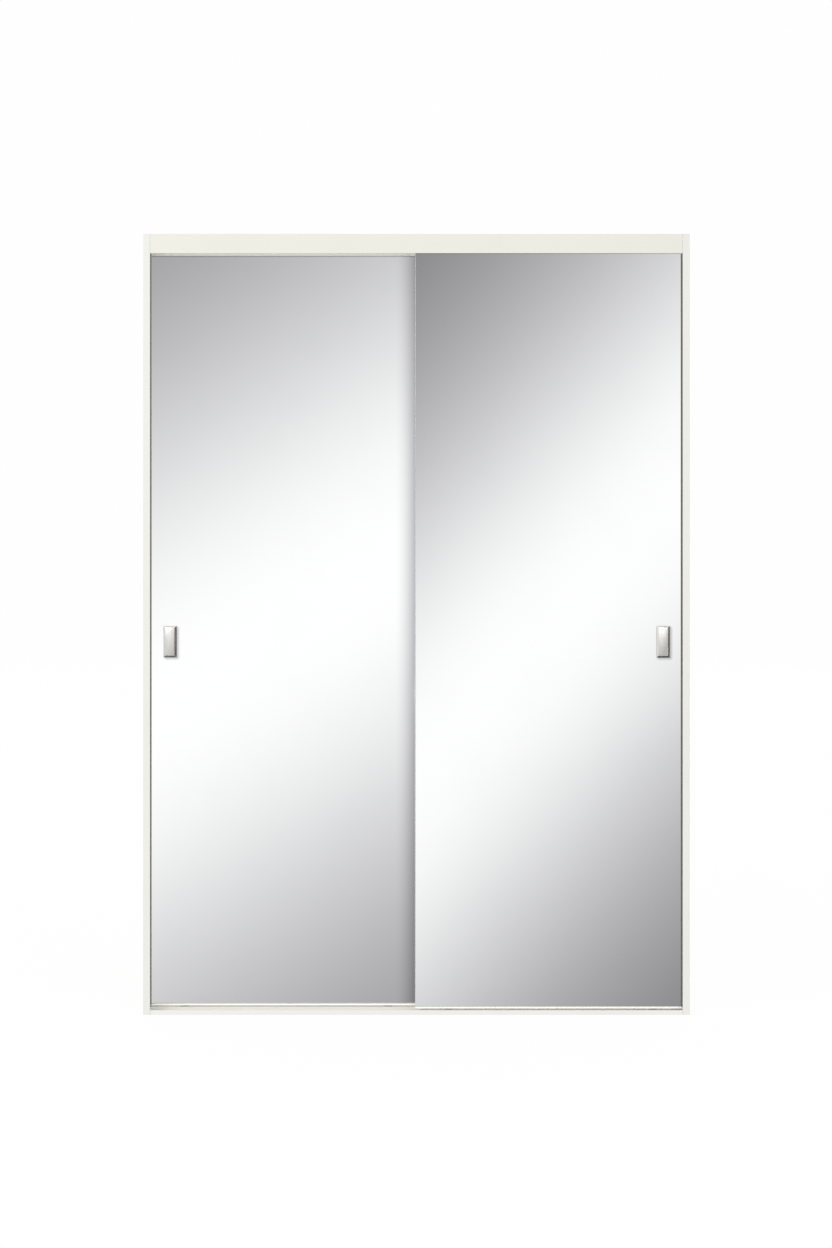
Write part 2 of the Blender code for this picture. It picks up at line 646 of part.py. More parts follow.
def build_wheel(name, roller, nylon):
    """Roller wheel: a turned rim with a round groove that straddles the ridge, a thin web and a hub on the axle."""
    hub = BRACKET_INNER_SIDE - SEAT
    rim = WHEEL_RIM_WIDTH / 2
    web = WHEEL_WEB_WIDTH / 2
    half_groove = WHEEL_GROOVE_WIDTH / 2
    depth = WHEEL_RIM_RADIUS - WHEEL_RUN_RADIUS
    bend = (half_groove ** 2 + depth ** 2) / (2 * depth)
    spread = math.asin(half_groove / bend)
    groove_centre = (WHEEL_RUN_RADIUS + bend, 0.0)
    groove = arc(groove_centre, bend, math.pi - spread, math.pi + spread, GROOVE_STEPS)
    profile = [
        (AXLE_HOLE_RADIUS, -hub),
        (AXLE_HOLE_RADIUS, hub),
        (WHEEL_HUB_RADIUS, hub),
        (WHEEL_HUB_RADIUS, web),
        (WHEEL_WEB_OUTER_RADIUS, web),
        (WHEEL_WEB_OUTER_RADIUS, rim),
        (WHEEL_RIM_RADIUS, rim),
        *groove,
        (WHEEL_RIM_RADIUS, -rim),
        (WHEEL_WEB_OUTER_RADIUS, -rim),
        (WHEEL_WEB_OUTER_RADIUS, -web),
        (WHEEL_HUB_RADIUS, -web),
        (WHEEL_HUB_RADIUS, -hub),
    ]
    wheel = turned(profile, "Y", WHEEL_STEPS, closed=True)
    add_object(name + "_roller_wheel", wheel, nylon, roller, smooth=True)


def build_roller(name, side_name, side, door, zinc, nylon):
    """One roller set: bracket, wheel, axle and the clamp screw that holds the bracket at its height."""
    label = f"{name}_{side_name}"
    inward = -side
    roller = add_empty(label + "_roller_axis", (side * (DOOR_EDGE - ROLLER_INSET), 0.0, AXLE_Z), door)
    build_roller_bracket(label, roller, inward, zinc)
    build_wheel(label, roller, nylon)
    axle = [(0.0, -BRACKET_SIDE), (AXLE_RADIUS, -BRACKET_SIDE), (AXLE_RADIUS, BRACKET_SIDE), (0.0, BRACKET_SIDE)]
    add_object(label + "_roller_axle", turned(axle, "Y", SCREW_STEPS), zinc, roller, smooth=True)
    length = RAIL_SIDE - BRACKET_INNER_SIDE
    clamp = turned([(radius, -station) for radius, station in screw_profile(length)], "Y", SCREW_STEPS)
    place = (inward * CLAMP_OFFSET, RAIL_SIDE + SEAT, CLAMP_RISE)
    add_object(label + "_roller_clamp_screw", clamp, zinc, roller, place, smooth=True)


def build_pull(name, door, x, nickel, pad):
    """Finger pull: a raised block with wide mitred bevels and a face that crowns from top to bottom, on its pad."""
    half_width = PULL_WIDTH / 2
    half_height = PULL_HEIGHT / 2
    bevel_depth = PULL_DEPTH - PULL_RIM - PULL_CROWN
    block = prism(rectangle((-half_width, -half_height), (half_width, half_height)), 0.0, -PULL_RIM, "Y")
    block.faces.ensure_lookup_table()
    face = min(block.faces, key=lambda item: item.calc_center_median().y)
    bmesh.ops.inset_region(block, faces=[face], thickness=PULL_BEVEL, depth=bevel_depth, use_even_offset=True)
    face_half = half_height - PULL_BEVEL
    for row in range(1, CROWN_ROWS):
        level = face_half * (2 * row / CROWN_ROWS - 1)
        everything = block.verts[:] + block.edges[:] + block.faces[:]
        bmesh.ops.bisect_plane(block, geom=everything, plane_co=(0.0, 0.0, level), plane_no=(0.0, 0.0, 1.0))
    flat = -PULL_RIM - bevel_depth
    for vert in block.verts:
        if abs(vert.co.y - flat) < SEAT / 10 and abs(vert.co.x) < half_width - PULL_BEVEL + SEAT:
            vert.co.y -= PULL_CROWN * (1 - (vert.co.z / face_half) ** 2)
    pad_back = GLASS_FRONT - SEAT
    pull_back = pad_back - PAD_THICKNESS - SEAT
    pull = add_object(name + "_pull", block, nickel, door, (x, pull_back, PULL_MIDDLE_Z), smooth=True)
    softened = pull.modifiers.new("softened_edges", "BEVEL")
    softened.width = PULL_EDGE_RADIUS * MM
    softened.segments = 2
    softened.limit_method = "ANGLE"
    pad_low = (PAD_MARGIN - half_width, PAD_MARGIN - half_height)
    pad_high = (half_width - PAD_MARGIN, half_height - PAD_MARGIN)
    sheet = prism(rectangle(pad_low, pad_high, PAD_CORNER_RADIUS), 0.0, -PAD_THICKNESS, "Y")
    add_object(name + "_pull_pad", sheet, pad, door, (x, pad_back, PULL_MIDDLE_Z))


def build_door(name, place, pull_x, finishes):
    """One door: glass, frame, board, guides, rollers and pull, all carried by the door's own mark."""
    door = add_empty(name + "_slide", place)
    build_glass(name, door, finishes["silver"])
    build_backing_board(name, door, finishes["board"])
    build_bottom_rail(name, door, finishes["coat"])
    build_top_rail(name, door, finishes["coat"])
    for side_name, side in (("left", -1), ("right", 1)):
        build_stile(name, side_name, side, door, finishes["coat"], finishes["foam"])
        build_corner_screws(name, side_name, side, door, finishes["zinc"])
        build_top_guide(name, side_name, side, door, finishes["nylon"])
        build_roller(name, side_name, side, door, finishes["zinc"], finishes["nylon"])
    build_pull(name, door, pull_x, finishes["nickel"], finishes["foam"])


def main():
    clear_scene()
    finishes = {
        "coat": finish("powder_coat", (0.86, 0.87, 0.82), 0.45, 0.0),
        "silver": finish("mirror_silver", (0.90, 0.92, 0.91), 0.02, 1.0),
        "board": finish("hardboard", (0.42, 0.29, 0.18), 0.80, 0.0),
        "foam": finish("foam_tape", (0.10, 0.10, 0.10), 0.90, 0.0),
        "nickel": finish("brushed_nickel", (0.72, 0.70, 0.66), 0.32, 1.0),
        "zinc": finish("zinc_steel", (0.62, 0.63, 0.65), 0.35, 1.0),
        "nylon": finish("nylon", (0.85, 0.85, 0.82), 0.45, 0.0),
        "pile": finish("pile_felt", (0.45, 0.45, 0.44), 0.95, 0.0),
    }
    build_head_track(finishes["coat"])
    build_sill_track(finishes["coat"])
    for side_name, side in (("left", -1), ("right", 1)):
        build_jamb(side_name, side, finishes["coat"])
        build_pile_strip(side_name + "_front_pile_strip", side, -CHANNEL_OFFSET, finishes["pile"])
        build_pile_strip(side_name + "_rear_pile_strip", side, CHANNEL_OFFSET, finishes["pile"])
        build_jamb_brush(side_name + "_jamb_brush", side, finishes["pile"])
    build_door("front_door", (FRONT_DOOR_X, -CHANNEL_OFFSET, 0.0), DOOR_EDGE - FRONT_PULL_INSET, finishes)
    build_door("rear_door", (REAR_DOOR_X, CHANNEL_OFFSET, 0.0), REAR_PULL_INSET - DOOR_EDGE, finishes)


main()
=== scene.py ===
import json
import math

import bmesh
import bpy
import numpy as np
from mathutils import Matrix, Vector


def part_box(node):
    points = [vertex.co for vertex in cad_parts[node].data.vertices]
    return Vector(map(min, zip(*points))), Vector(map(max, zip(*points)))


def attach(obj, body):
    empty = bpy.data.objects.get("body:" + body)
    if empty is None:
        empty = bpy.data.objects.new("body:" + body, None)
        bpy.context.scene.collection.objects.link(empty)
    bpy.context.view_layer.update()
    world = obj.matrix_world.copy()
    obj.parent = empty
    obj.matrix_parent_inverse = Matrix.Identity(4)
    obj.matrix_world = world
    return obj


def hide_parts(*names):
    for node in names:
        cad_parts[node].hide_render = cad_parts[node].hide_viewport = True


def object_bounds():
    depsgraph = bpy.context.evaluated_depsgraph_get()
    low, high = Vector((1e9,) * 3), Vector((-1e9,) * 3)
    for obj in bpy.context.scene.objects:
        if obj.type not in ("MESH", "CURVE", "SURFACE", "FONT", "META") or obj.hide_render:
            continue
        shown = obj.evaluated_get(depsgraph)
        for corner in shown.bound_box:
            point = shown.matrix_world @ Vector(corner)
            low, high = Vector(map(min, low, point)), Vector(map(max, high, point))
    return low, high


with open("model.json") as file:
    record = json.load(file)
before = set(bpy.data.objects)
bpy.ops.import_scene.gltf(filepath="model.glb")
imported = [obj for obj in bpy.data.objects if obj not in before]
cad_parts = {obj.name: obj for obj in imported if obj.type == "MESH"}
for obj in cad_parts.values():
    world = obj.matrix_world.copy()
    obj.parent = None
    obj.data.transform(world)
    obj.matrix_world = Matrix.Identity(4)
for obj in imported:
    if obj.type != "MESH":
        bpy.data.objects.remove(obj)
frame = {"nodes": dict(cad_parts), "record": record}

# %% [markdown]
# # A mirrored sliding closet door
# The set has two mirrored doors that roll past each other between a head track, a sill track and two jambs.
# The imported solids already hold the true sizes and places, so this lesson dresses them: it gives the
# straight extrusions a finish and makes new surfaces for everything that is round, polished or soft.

MM = 0.001
CAD_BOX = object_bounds()
scene = bpy.context.scene
nodes = frame["nodes"]
DOORS = ("front_door", "rear_door")
SIDES = ("left", "right")
print("solids:", len(nodes), "box in metres:", [round(v, 3) for v in CAD_BOX[1] - CAD_BOX[0]])

# %% [markdown]
# ## The camera
# The photograph looks straight at the set from chest height, a little over five metres away: both jambs look
# equally wide, and the rear door looks smaller than the front one by less than one part in a hundred. A
# shorter lens from nearby could frame the doors as well, but it would make that difference larger. So the
# lens is long and has no shift. It follows from how much height the picture shows at the front of the frame.

# %% Place the camera
CAMERA_DISTANCE = 5.130
CAMERA_X = -0.001
CAMERA_Z = 1.0509
SENSOR = 36.0
PICTURE_HEIGHT_AT_FRONT = 3.3552
camera_data = bpy.data.cameras.new("closet_camera")
camera_data.sensor_width = SENSOR
camera_data.sensor_height = SENSOR
camera_data.sensor_fit = "AUTO"
camera_data.lens = SENSOR * CAMERA_DISTANCE / PICTURE_HEIGHT_AT_FRONT
camera = bpy.data.objects.new("closet_camera", camera_data)
camera.location = (CAMERA_X, CAD_BOX[0].y - CAMERA_DISTANCE, CAMERA_Z)
camera.rotation_euler = (math.pi / 2, 0.0, 0.0)
scene.collection.objects.link(camera)
scene.camera = camera
print("lens in mm:", round(camera_data.lens, 2))

# %% [markdown]
# ## Small helpers for node trees
# A node tree can be put together by hand in the Shader Editor. In a script it is easier to read when each
# node is one call. `add_node` makes a node, sets its properties and either links or fills its inputs.
# `combine` does one sum on values, `blend` mixes two values and `blend_colour` two colours. `axes_of` splits
# a vector, and `map_range` spreads a range of values over 0 to 1.

# %% Node helpers
def add_node(tree, kind, inputs=None, **settings):
    """Add a node; an input that is a socket is linked, and anything else becomes the input's own value."""
    node = tree.nodes.new(kind)
    for name, value in settings.items():
        setattr(node, name, value)
    for key, value in (inputs or {}).items():
        if isinstance(value, bpy.types.NodeSocket):
            tree.links.new(value, node.inputs[key])
        else:
            node.inputs[key].default_value = value
    return node


def combine(tree, operation, *values):
    """Return the result of one Math node on sockets or numbers."""
    return add_node(tree, "ShaderNodeMath", dict(enumerate(values)), operation=operation).outputs[0]


def blend(tree, amount, low, high):
    """Return a value that goes from low to high as amount goes from 0 to 1."""
    return add_node(tree, "ShaderNodeMix", {"Factor": amount, "A": low, "B": high}).outputs["Result"]


def blend_colour(tree, amount, low, high):
    """Return a colour that goes from low to high as amount goes from 0 to 1; inputs 6 and 7 hold colours."""
    colours = {"Factor": amount, 6: low, 7: high}
    return add_node(tree, "ShaderNodeMix", colours, data_type="RGBA").outputs[2]


def axes_of(tree, vector):
    """Return the X, Y and Z sockets of a vector."""
    return add_node(tree, "ShaderNodeSeparateXYZ", {"Vector": vector}).outputs


def map_range(tree, value, low, high, kind="LINEAR"):
    """Spread the range from low to high over 0 to 1, as a straight or a smooth step."""
    ranges = {"Value": value, "From Min": low, "From Max": high}
    return add_node(tree, "ShaderNodeMapRange", ranges, interpolation_type=kind).outputs["Result"]


print("helpers ready")

# %% [markdown]
# ## The studio
# A mirror shows nothing of its own: what it looks like is what stands in front of it. In the photograph each
# door shows one long diagonal glow that fades to grey on both sides, so the studio has a row of diagonal
# strip lights for each door. Real lamps would light the frame too, so the strips are painted on the world as
# a function of direction. With the reflected ray divided by its depth, u is how far it leans to the right and
# v how far it rises, and the glow across a strip is gain / (1 + |t| ** power). The camera sees one strip in
# each door, and from the side the mirrors pick up the next ones.

# %% The strip lights' formula
STRIP_LEFT = {"lean": 0.623, "offset": 0.0412, "width": 0.1909, "power": 2.205, "gain": 1.050}
STRIP_RIGHT = {"lean": 1.039, "offset": -0.0761, "width": 0.1752, "power": 2.288, "gain": 1.036}
STRIP_PITCH = 0.66
STRIP_ROUNDING = 0.10


def strip_glow(tree, u, v, strip):
    """Brightness of a row of strips: gain / (1 + t ** power), t the distance to the nearest one / width."""
    leaned = combine(tree, "MULTIPLY_ADD", u, strip["lean"], strip["offset"])
    above = combine(tree, "SUBTRACT", leaned, v)
    this_one = combine(tree, "ABSOLUTE", combine(tree, "WRAP", above, STRIP_PITCH / 2, -STRIP_PITCH / 2))
    next_one = combine(tree, "SUBTRACT", STRIP_PITCH, this_one)
    nearest = combine(tree, "SMOOTH_MIN", this_one, next_one, STRIP_ROUNDING)
    fall = combine(tree, "POWER", combine(tree, "DIVIDE", nearest, strip["width"]), strip["power"])
    return combine(tree, "DIVIDE", strip["gain"], combine(tree, "ADD", fall, 1.0))


def near_middle(tree, value, inner, outer):
    """1 while |value| is below inner, 0 past outer, smooth between."""
    return map_range(tree, combine(tree, "ABSOLUTE", value), outer, inner, "SMOOTHSTEP")


print("left strip leans", STRIP_LEFT["lean"], "right strip leans", STRIP_RIGHT["lean"])

# %% [markdown]
# A narrow dark card hangs in the middle between the strips and gives the rear door its dim edge beside the
# front one. Further out the studio is bright at the upper left and dark at the lower right, which models the
# bevels of the pulls. Both could be planes in the scene, but painted on the world they shade nothing else.

# %% Paint what the mirrors see
CARD_WIDTH = 0.0112
CARD_DEPTH = 0.55
CARD_FALL = 1.7
SEAM_U = -0.0005
SURROUND_MIDDLE = 0.50
SURROUND_SIDE = -0.48
SURROUND_RISE = 0.48
STRIPS_END_U = (1.1, 1.7)
STRIPS_END_V = (1.4, 2.0)
LEAST_DEPTH = 0.001
world = bpy.data.worlds.new("studio")
world.use_nodes = True
scene.world = world
studio = world.node_tree
studio.nodes.clear()
axes = axes_of(studio, add_node(studio, "ShaderNodeTexCoord").outputs["Generated"])
depth = combine(studio, "MAXIMUM", combine(studio, "ABSOLUTE", axes["Y"]), LEAST_DEPTH)
u = combine(studio, "DIVIDE", axes["X"], depth)
v = combine(studio, "DIVIDE", axes["Z"], depth)
card_reach = combine(studio, "MAXIMUM", combine(studio, "MULTIPLY_ADD", u, 1.0 / CARD_WIDTH, 1.0), 0.0)
card_shade = combine(studio, "MULTIPLY", combine(studio, "POWER", card_reach, CARD_FALL), CARD_DEPTH)
past_card = combine(studio, "SUBTRACT", 1.0, card_shade)
left_glow = combine(studio, "MULTIPLY", strip_glow(studio, u, v, STRIP_LEFT), past_card)
right_glow = strip_glow(studio, u, v, STRIP_RIGHT)
glow = blend(studio, combine(studio, "LESS_THAN", u, SEAM_U), right_glow, left_glow)
sideways = combine(studio, "MULTIPLY_ADD", axes["X"], SURROUND_SIDE, SURROUND_MIDDLE)
risen = combine(studio, "MULTIPLY_ADD", axes["Z"], SURROUND_RISE, sideways)
surround = combine(studio, "MAXIMUM", risen, 0.0)
in_front = combine(studio, "LESS_THAN", axes["Y"], 0.0)
near_u = near_middle(studio, u, *STRIPS_END_U)
near_v = near_middle(studio, v, *STRIPS_END_V)
by_strips = combine(studio, "MULTIPLY", in_front, combine(studio, "MULTIPLY", near_u, near_v))
seen_in_gloss = blend(studio, by_strips, surround, glow)
print("studio nodes so far:", len(studio.nodes))

# %% [markdown]
# What the mirrors see is dark in places, and would light the matte frame unevenly. So matte surfaces get an
# even white dome instead, also when they are seen in a mirror, and the camera sees a white backdrop. The
# Light Path node tells the rays apart: its Diffuse Depth counts the matte surfaces that a ray has met, so
# below one half means none. A dim part of the glow is a little cool, as in the photograph. The world is not
# sampled as a lamp, because it answers each kind of ray differently.

# %% Join the kinds of ray
BACKDROP_LEVEL = 0.994
DOME_LEVEL = 0.97
COOL = (1.0, 0.985, 1.05, 1.0)
WHITE = (1.0, 1.0, 1.0, 1.0)
rays = add_node(studio, "ShaderNodeLightPath").outputs
first_hand = combine(studio, "LESS_THAN", rays["Diffuse Depth"], 0.5)
by_mirror = combine(studio, "MULTIPLY", rays["Is Glossy Ray"], first_hand)
level = blend(studio, by_mirror, DOME_LEVEL, seen_in_gloss)
level = blend(studio, rays["Is Camera Ray"], level, BACKDROP_LEVEL)
cast = blend_colour(studio, combine(studio, "MINIMUM", level, 1.0), COOL, WHITE)
background = add_node(studio, "ShaderNodeBackground", {"Color": cast, "Strength": level})
add_node(studio, "ShaderNodeOutputWorld", {"Surface": background.outputs["Background"]})
world.cycles.sampling_method = "NONE"
scene.view_settings.view_transform = "Standard"
print("studio nodes:", len(studio.nodes))

# %% [markdown]
# The mirrors take their light from the world, but the coated frame needs a direction too. A point lamp would
# leave hard shadows, so a large soft box hangs high on the left. It makes the fascia a little brighter on
# that side, as in the photograph.

# %% The soft box
UPPER_LEFT = {"place": (-3.4, -3.2, 3.2), "target": (0.0, 0.0, 1.4), "size": (1.8, 1.8), "watts": 28.0}


def soft_box(name, place, target, size, watts, receiver=None):
    """A rectangular area light at place, aimed at target; with a receiver it lights that object alone."""
    data = bpy.data.lights.new(name, "AREA")
    data.shape = "RECTANGLE"
    data.size, data.size_y = size
    data.energy = watts
    lamp = bpy.data.objects.new(name, data)
    lamp.location = place
    lamp.rotation_euler = (Vector(target) - Vector(place)).to_track_quat("-Z", "Y").to_euler()
    scene.collection.objects.link(lamp)
    if receiver is not None:
        collection = bpy.data.collections.new(name + "_receivers")
        collection.objects.link(receiver)
        lamp.light_linking.receiver_collection = collection
    return lamp


print("light:", soft_box("upper_left_soft_box", **UPPER_LEFT).name)

# %% [markdown]
# ## The floor
# The photograph has a white ground that melts into the white backdrop. A large plane stands in for it. A
# white matte plane would come out grey where light is short, so most of its brightness is its own, and a
# small matte part takes the door's soft shadow. The mirrors must not see it, because the photograph's don't.

# %% The floor
FLOOR_REACH = 40.0
FLOOR_DROP = 0.5 * MM
FLOOR_LOOKS = {
    "Base_Color": (0.10, 0.10, 0.10, 1.0),
    "Roughness": 0.9,
    "Specular_IOR_Level": 0.0,
    "Emission_Color": WHITE,
    "Emission_Strength": 0.90,
}


def new_finish(name, **constants):
    """Return a material and its shader; values that are the same all over are set on the shader itself."""
    material = bpy.data.materials.new(name)
    material.use_nodes = True
    shader = material.node_tree.nodes["Principled BSDF"]
    for label, value in constants.items():
        shader.inputs[label.replace("_", " ")].default_value = value
    return material, shader


floor_mesh = bpy.data.meshes.new("studio_floor")
floor_corners = np.array([(-1, -1, 0), (1, -1, 0), (1, 1, 0), (-1, 1, 0)]) * FLOOR_REACH
floor_mesh.from_pydata(floor_corners.tolist(), [], [(0, 1, 2, 3)])
floor_mesh.materials.append(new_finish("studio_floor", **FLOOR_LOOKS)[0])
floor = bpy.data.objects.new("studio_floor", floor_mesh)
floor.location.z = CAD_BOX[0].z - FLOOR_DROP
floor.visible_glossy = False
floor.visible_diffuse = False
scene.collection.objects.link(floor)
print("floor at z", round(floor.location.z, 4))

# %% [markdown]
# ## Effects that several finishes share
# Real coatings are never one flat colour. Pictures of a surface could be laid over the parts, but they blur
# up close, so noise in the object's own metres is used. Three small node groups give it: `grain` is a noise
# that can be stretched along a direction, for orange peel, brush lines or fibres; `settled_dust` is a mask
# for surfaces that look up; `handled_film` is a soft cloud for finger marks and polish. They put out plain
# values only.

# %% Start and end a group
def new_group(name, output, **inputs):
    """Start a shader group with one float output; an input whose first value is a tuple is a vector."""
    tree = bpy.data.node_groups.new(name, "ShaderNodeTree")
    for label, value in inputs.items():
        kind = "NodeSocketVector" if isinstance(value, tuple) else "NodeSocketFloat"
        tree.interface.new_socket(label, in_out="INPUT", socket_type=kind).default_value = value
    tree.interface.new_socket(output, in_out="OUTPUT", socket_type="NodeSocketFloat")
    return tree, tree.nodes.new("NodeGroupInput").outputs


def end_group(tree, value):
    """Send a value to the group's output and return the group."""
    tree.links.new(value, tree.nodes.new("NodeGroupOutput").inputs[0])
    return tree


def object_place(tree):
    """The point on the object, in its own metres."""
    return add_node(tree, "ShaderNodeTexCoord").outputs["Object"]


def noise(tree, place, scale, **settings):
    """The value of a Noise Texture at a place."""
    return add_node(tree, "ShaderNodeTexNoise", {"Vector": place, "Scale": scale, **settings}).outputs[0]


print("group helpers ready")

# %% [markdown]
# Noise gathers around one half, so the grain and the film spread its middle part over 0 to 1. Dust needs to
# know which way a face looks: the Z of its normal is 1 where it looks straight up.

# %% Build the shared groups
GRAIN_SPREAD = (0.3, 0.7)
FILM_SPREAD = (0.45, 0.75)
LOOKS_UP = (0.5, 1.0)


def build_grain():
    """Noise on stretched Object coordinates, spread to the full 0 to 1 range."""
    tree, given = new_group("grain", "Value", Stretch=(1.0, 1.0, 1.0), Scale=400.0)
    factors = {0: object_place(tree), 1: given["Stretch"]}
    stretched = add_node(tree, "ShaderNodeVectorMath", factors, operation="MULTIPLY").outputs[0]
    value = noise(tree, stretched, given["Scale"], Detail=3.0)
    return end_group(tree, map_range(tree, value, *GRAIN_SPREAD))


def build_settled_dust():
    """How far a surface looks up, broken by a slow cloud."""
    tree, given = new_group("settled_dust", "Mask", Scale=30.0)
    upward = axes_of(tree, add_node(tree, "ShaderNodeNewGeometry").outputs["Normal"])["Z"]
    cloud = noise(tree, object_place(tree), given["Scale"], Detail=4.0)
    return end_group(tree, combine(tree, "MULTIPLY", map_range(tree, upward, *LOOKS_UP), cloud))


def build_handled_film():
    """A soft cloud with a threshold, as left by hands and polishing cloths."""
    tree, given = new_group("handled_film", "Mask", Scale=6.0)
    cloud = noise(tree, object_place(tree), given["Scale"], Detail=5.0, Roughness=0.6)
    return end_group(tree, map_range(tree, cloud, *FILM_SPREAD, "SMOOTHSTEP"))


GRAIN = build_grain()
DUST = build_settled_dust()
FILM = build_handled_film()
print("groups:", [group.name for group in bpy.data.node_groups])

# %% [markdown]
# A finish starts as an empty material with one Principled shader. The helpers below place a group in it, mix
# two colours by a mask, spread a mask over a roughness range and turn a mask into a fine bump. Many parts
# need just these four, driven by one grain, so `grained_finish` makes such a finish in one call.

# %% Finish helpers
def place_group(material, group, **values):
    """Put a shared group into a material and return its output."""
    return add_node(material.node_tree, "ShaderNodeGroup", values, node_tree=group).outputs[0]


def tint(material, shader, mask, low, high):
    """Colour the surface from low to high by a mask; the colour is returned for a further layer."""
    colour = blend_colour(material.node_tree, mask, (*low, 1.0), (*high, 1.0))
    material.node_tree.links.new(colour, shader.inputs["Base Color"])
    return colour


def roughen(material, shader, mask, low, high):
    """Let the roughness run from low to high by a mask."""
    material.node_tree.links.new(blend(material.node_tree, mask, low, high), shader.inputs["Roughness"])


def raise_bump(material, shader, height, distance):
    """Raise the surface by a height value, distance in metres."""
    bump = add_node(material.node_tree, "ShaderNodeBump", {"Height": height, "Distance": distance})
    material.node_tree.links.new(bump.outputs["Normal"], shader.inputs["Normal"])


def grained_finish(name, grain, colours, roughness, bump, cloud=None, **constants):
    """One grain drives roughness and bump, and colour too unless a cloud of the given scale does that."""
    material, shader = new_finish(name, **constants)
    mask = place_group(material, GRAIN, **grain)
    patches = mask if cloud is None else place_group(material, FILM, Scale=cloud)
    tint(material, shader, patches, *colours)
    roughen(material, shader, mask, *roughness)
    raise_bump(material, shader, mask, bump)
    return material


print("finish helpers ready")

# %% [markdown]
# ## The coated frame
# The frame is extruded aluminium with an off-white powder coat: a satin skin with a faint orange peel. One
# white for all of it would be simpler, but the fascia in the photograph is a warmer white than the jambs, so
# each has its own coat. The rails' coat is whiter than the frame's; that extra white is painted light against
# the shade that the sill's lip casts on the toes. Deep in the channels, what looks out at the room is painted
# a lighter white, painted light against the channels' shade. Dust greys what looks up.

# %% Powder coats
# Painted light: the lighter white for faces deep in the channels that look out at the room.
CHANNEL_PAINTED_LIGHT = (0.955, 0.945, 0.890, 1.0)
IN_CHANNELS = (40.5 * MM, 39.5 * MM)
LOOKS_OUT = (-0.3, -0.8)
DUST_SHARE = 0.4
DRIFT_SHARE = 0.25
AGED_LEVEL = 0.90
COAT_ROUGHNESS = (0.40, 0.52)
PEEL_HEIGHT = 0.04 * MM


def powder_coat(name, colour):
    """Satin powder coat: orange-peel bump, a drift of colour, dust and a lighter white painted deep inside,
    painted light against the channels' shade.
    """
    material, shader = new_finish(name)
    tree = material.node_tree
    peel = place_group(material, GRAIN, Scale=900.0)
    drift = combine(tree, "MULTIPLY", place_group(material, FILM, Scale=3.0), DRIFT_SHARE)
    aged = combine(tree, "MULTIPLY_ADD", place_group(material, DUST), DUST_SHARE, drift)
    sprayed = tint(material, shader, aged, colour, tuple(AGED_LEVEL * part for part in colour))
    from_middle = combine(tree, "ABSOLUTE", axes_of(tree, object_place(tree))["Y"])
    looks = axes_of(tree, add_node(tree, "ShaderNodeNewGeometry").outputs["Normal"])
    enclosed = map_range(tree, from_middle, *IN_CHANNELS)
    facing = map_range(tree, looks["Y"], *LOOKS_OUT)
    # Painted light: deep in the channels, faces that look out at the room get the lighter white against their
    # shade.
    channel_lightened = blend_colour(tree, combine(tree, "MULTIPLY", enclosed, facing), sprayed, CHANNEL_PAINTED_LIGHT)
    tree.links.new(channel_lightened, shader.inputs["Base Color"])
    roughen(material, shader, peel, *COAT_ROUGHNESS)
    raise_bump(material, shader, peel, PEEL_HEIGHT)
    return material


FASCIA_COAT = powder_coat("warm_white_coat", (0.830, 0.820, 0.742))
JAMB_COAT = powder_coat("soft_white_coat", (0.830, 0.838, 0.790))
# Painted light: the rails' coat is whiter than the frame's, to offset the shade that the sill's lip casts on
# the toes.
RAIL_COAT = powder_coat("rail_white_coat", (0.960, 0.952, 0.922))
SILL_COAT = powder_coat("sill_white_coat", (0.860, 0.857, 0.822))
print("coats:", [coat.name for coat in (FASCIA_COAT, JAMB_COAT, RAIL_COAT, SILL_COAT)])

# %% [markdown]
# The wheels rub the coat off the sill's two running ridges. Painting the wear by hand would tie it to one
# mesh, so it is a mask: a ridge's crown is where the point is high above the base and close to the channel's
# middle line, and there bare aluminium comes through in streaks.

# %% Bare metal on the running ridges
CHANNEL_Y = 21.0 * MM
RIDGE_CROWN = (7.3 * MM, 7.9 * MM)
BARE_HALF_WIDTH = (1.3 * MM, 0.5 * MM)
STREAK_SPREAD = (0.1, 0.6)
BARE_METAL = (0.66, 0.67, 0.68, 1.0)
BARE_ROUGHNESS = 0.28


def rub_ridges(material):
    """Add worn ridges to a coat: its colour, metallic value and roughness follow one mask."""
    tree = material.node_tree
    shader = tree.nodes["Principled BSDF"]
    place = axes_of(tree, object_place(tree))
    from_middle = combine(tree, "ABSOLUTE", place["Y"])
    off_line = combine(tree, "ABSOLUTE", combine(tree, "SUBTRACT", from_middle, CHANNEL_Y))
    on_line = map_range(tree, off_line, *BARE_HALF_WIDTH)
    on_top = map_range(tree, place["Z"], *RIDGE_CROWN)
    streaks = place_group(material, GRAIN, Stretch=(0.05, 1.0, 1.0), Scale=260.0)
    patchy = map_range(tree, streaks, *STREAK_SPREAD)
    worn = combine(tree, "MULTIPLY", combine(tree, "MULTIPLY", on_line, on_top), patchy)
    coated = shader.inputs["Base Color"].links[0].from_socket
    satin = shader.inputs["Roughness"].links[0].from_socket
    tree.links.new(blend_colour(tree, worn, coated, BARE_METAL), shader.inputs["Base Color"])
    tree.links.new(worn, shader.inputs["Metallic"])
    tree.links.new(blend(tree, worn, satin, BARE_ROUGHNESS), shader.inputs["Roughness"])


rub_ridges(SILL_COAT)
print("ridges rubbed at y", [-CHANNEL_Y, CHANNEL_Y])

# %% [markdown]
# An extrusion has one section from end to end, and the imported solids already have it. They could be replaced
# by new meshes, but those would look the same, so the solids stay and only get their coats.

# %% Dress the extrusions
EXTRUSIONS = ("top_rail", "bottom_rail", "left_stile", "right_stile")
COATED = (
    (FASCIA_COAT, ["head_track"]),
    (SILL_COAT, ["sill_track"]),
    (JAMB_COAT, ["left_jamb", "right_jamb"]),
    (RAIL_COAT, [f"{door}_{part}" for door in DOORS for part in EXTRUSIONS]),
)


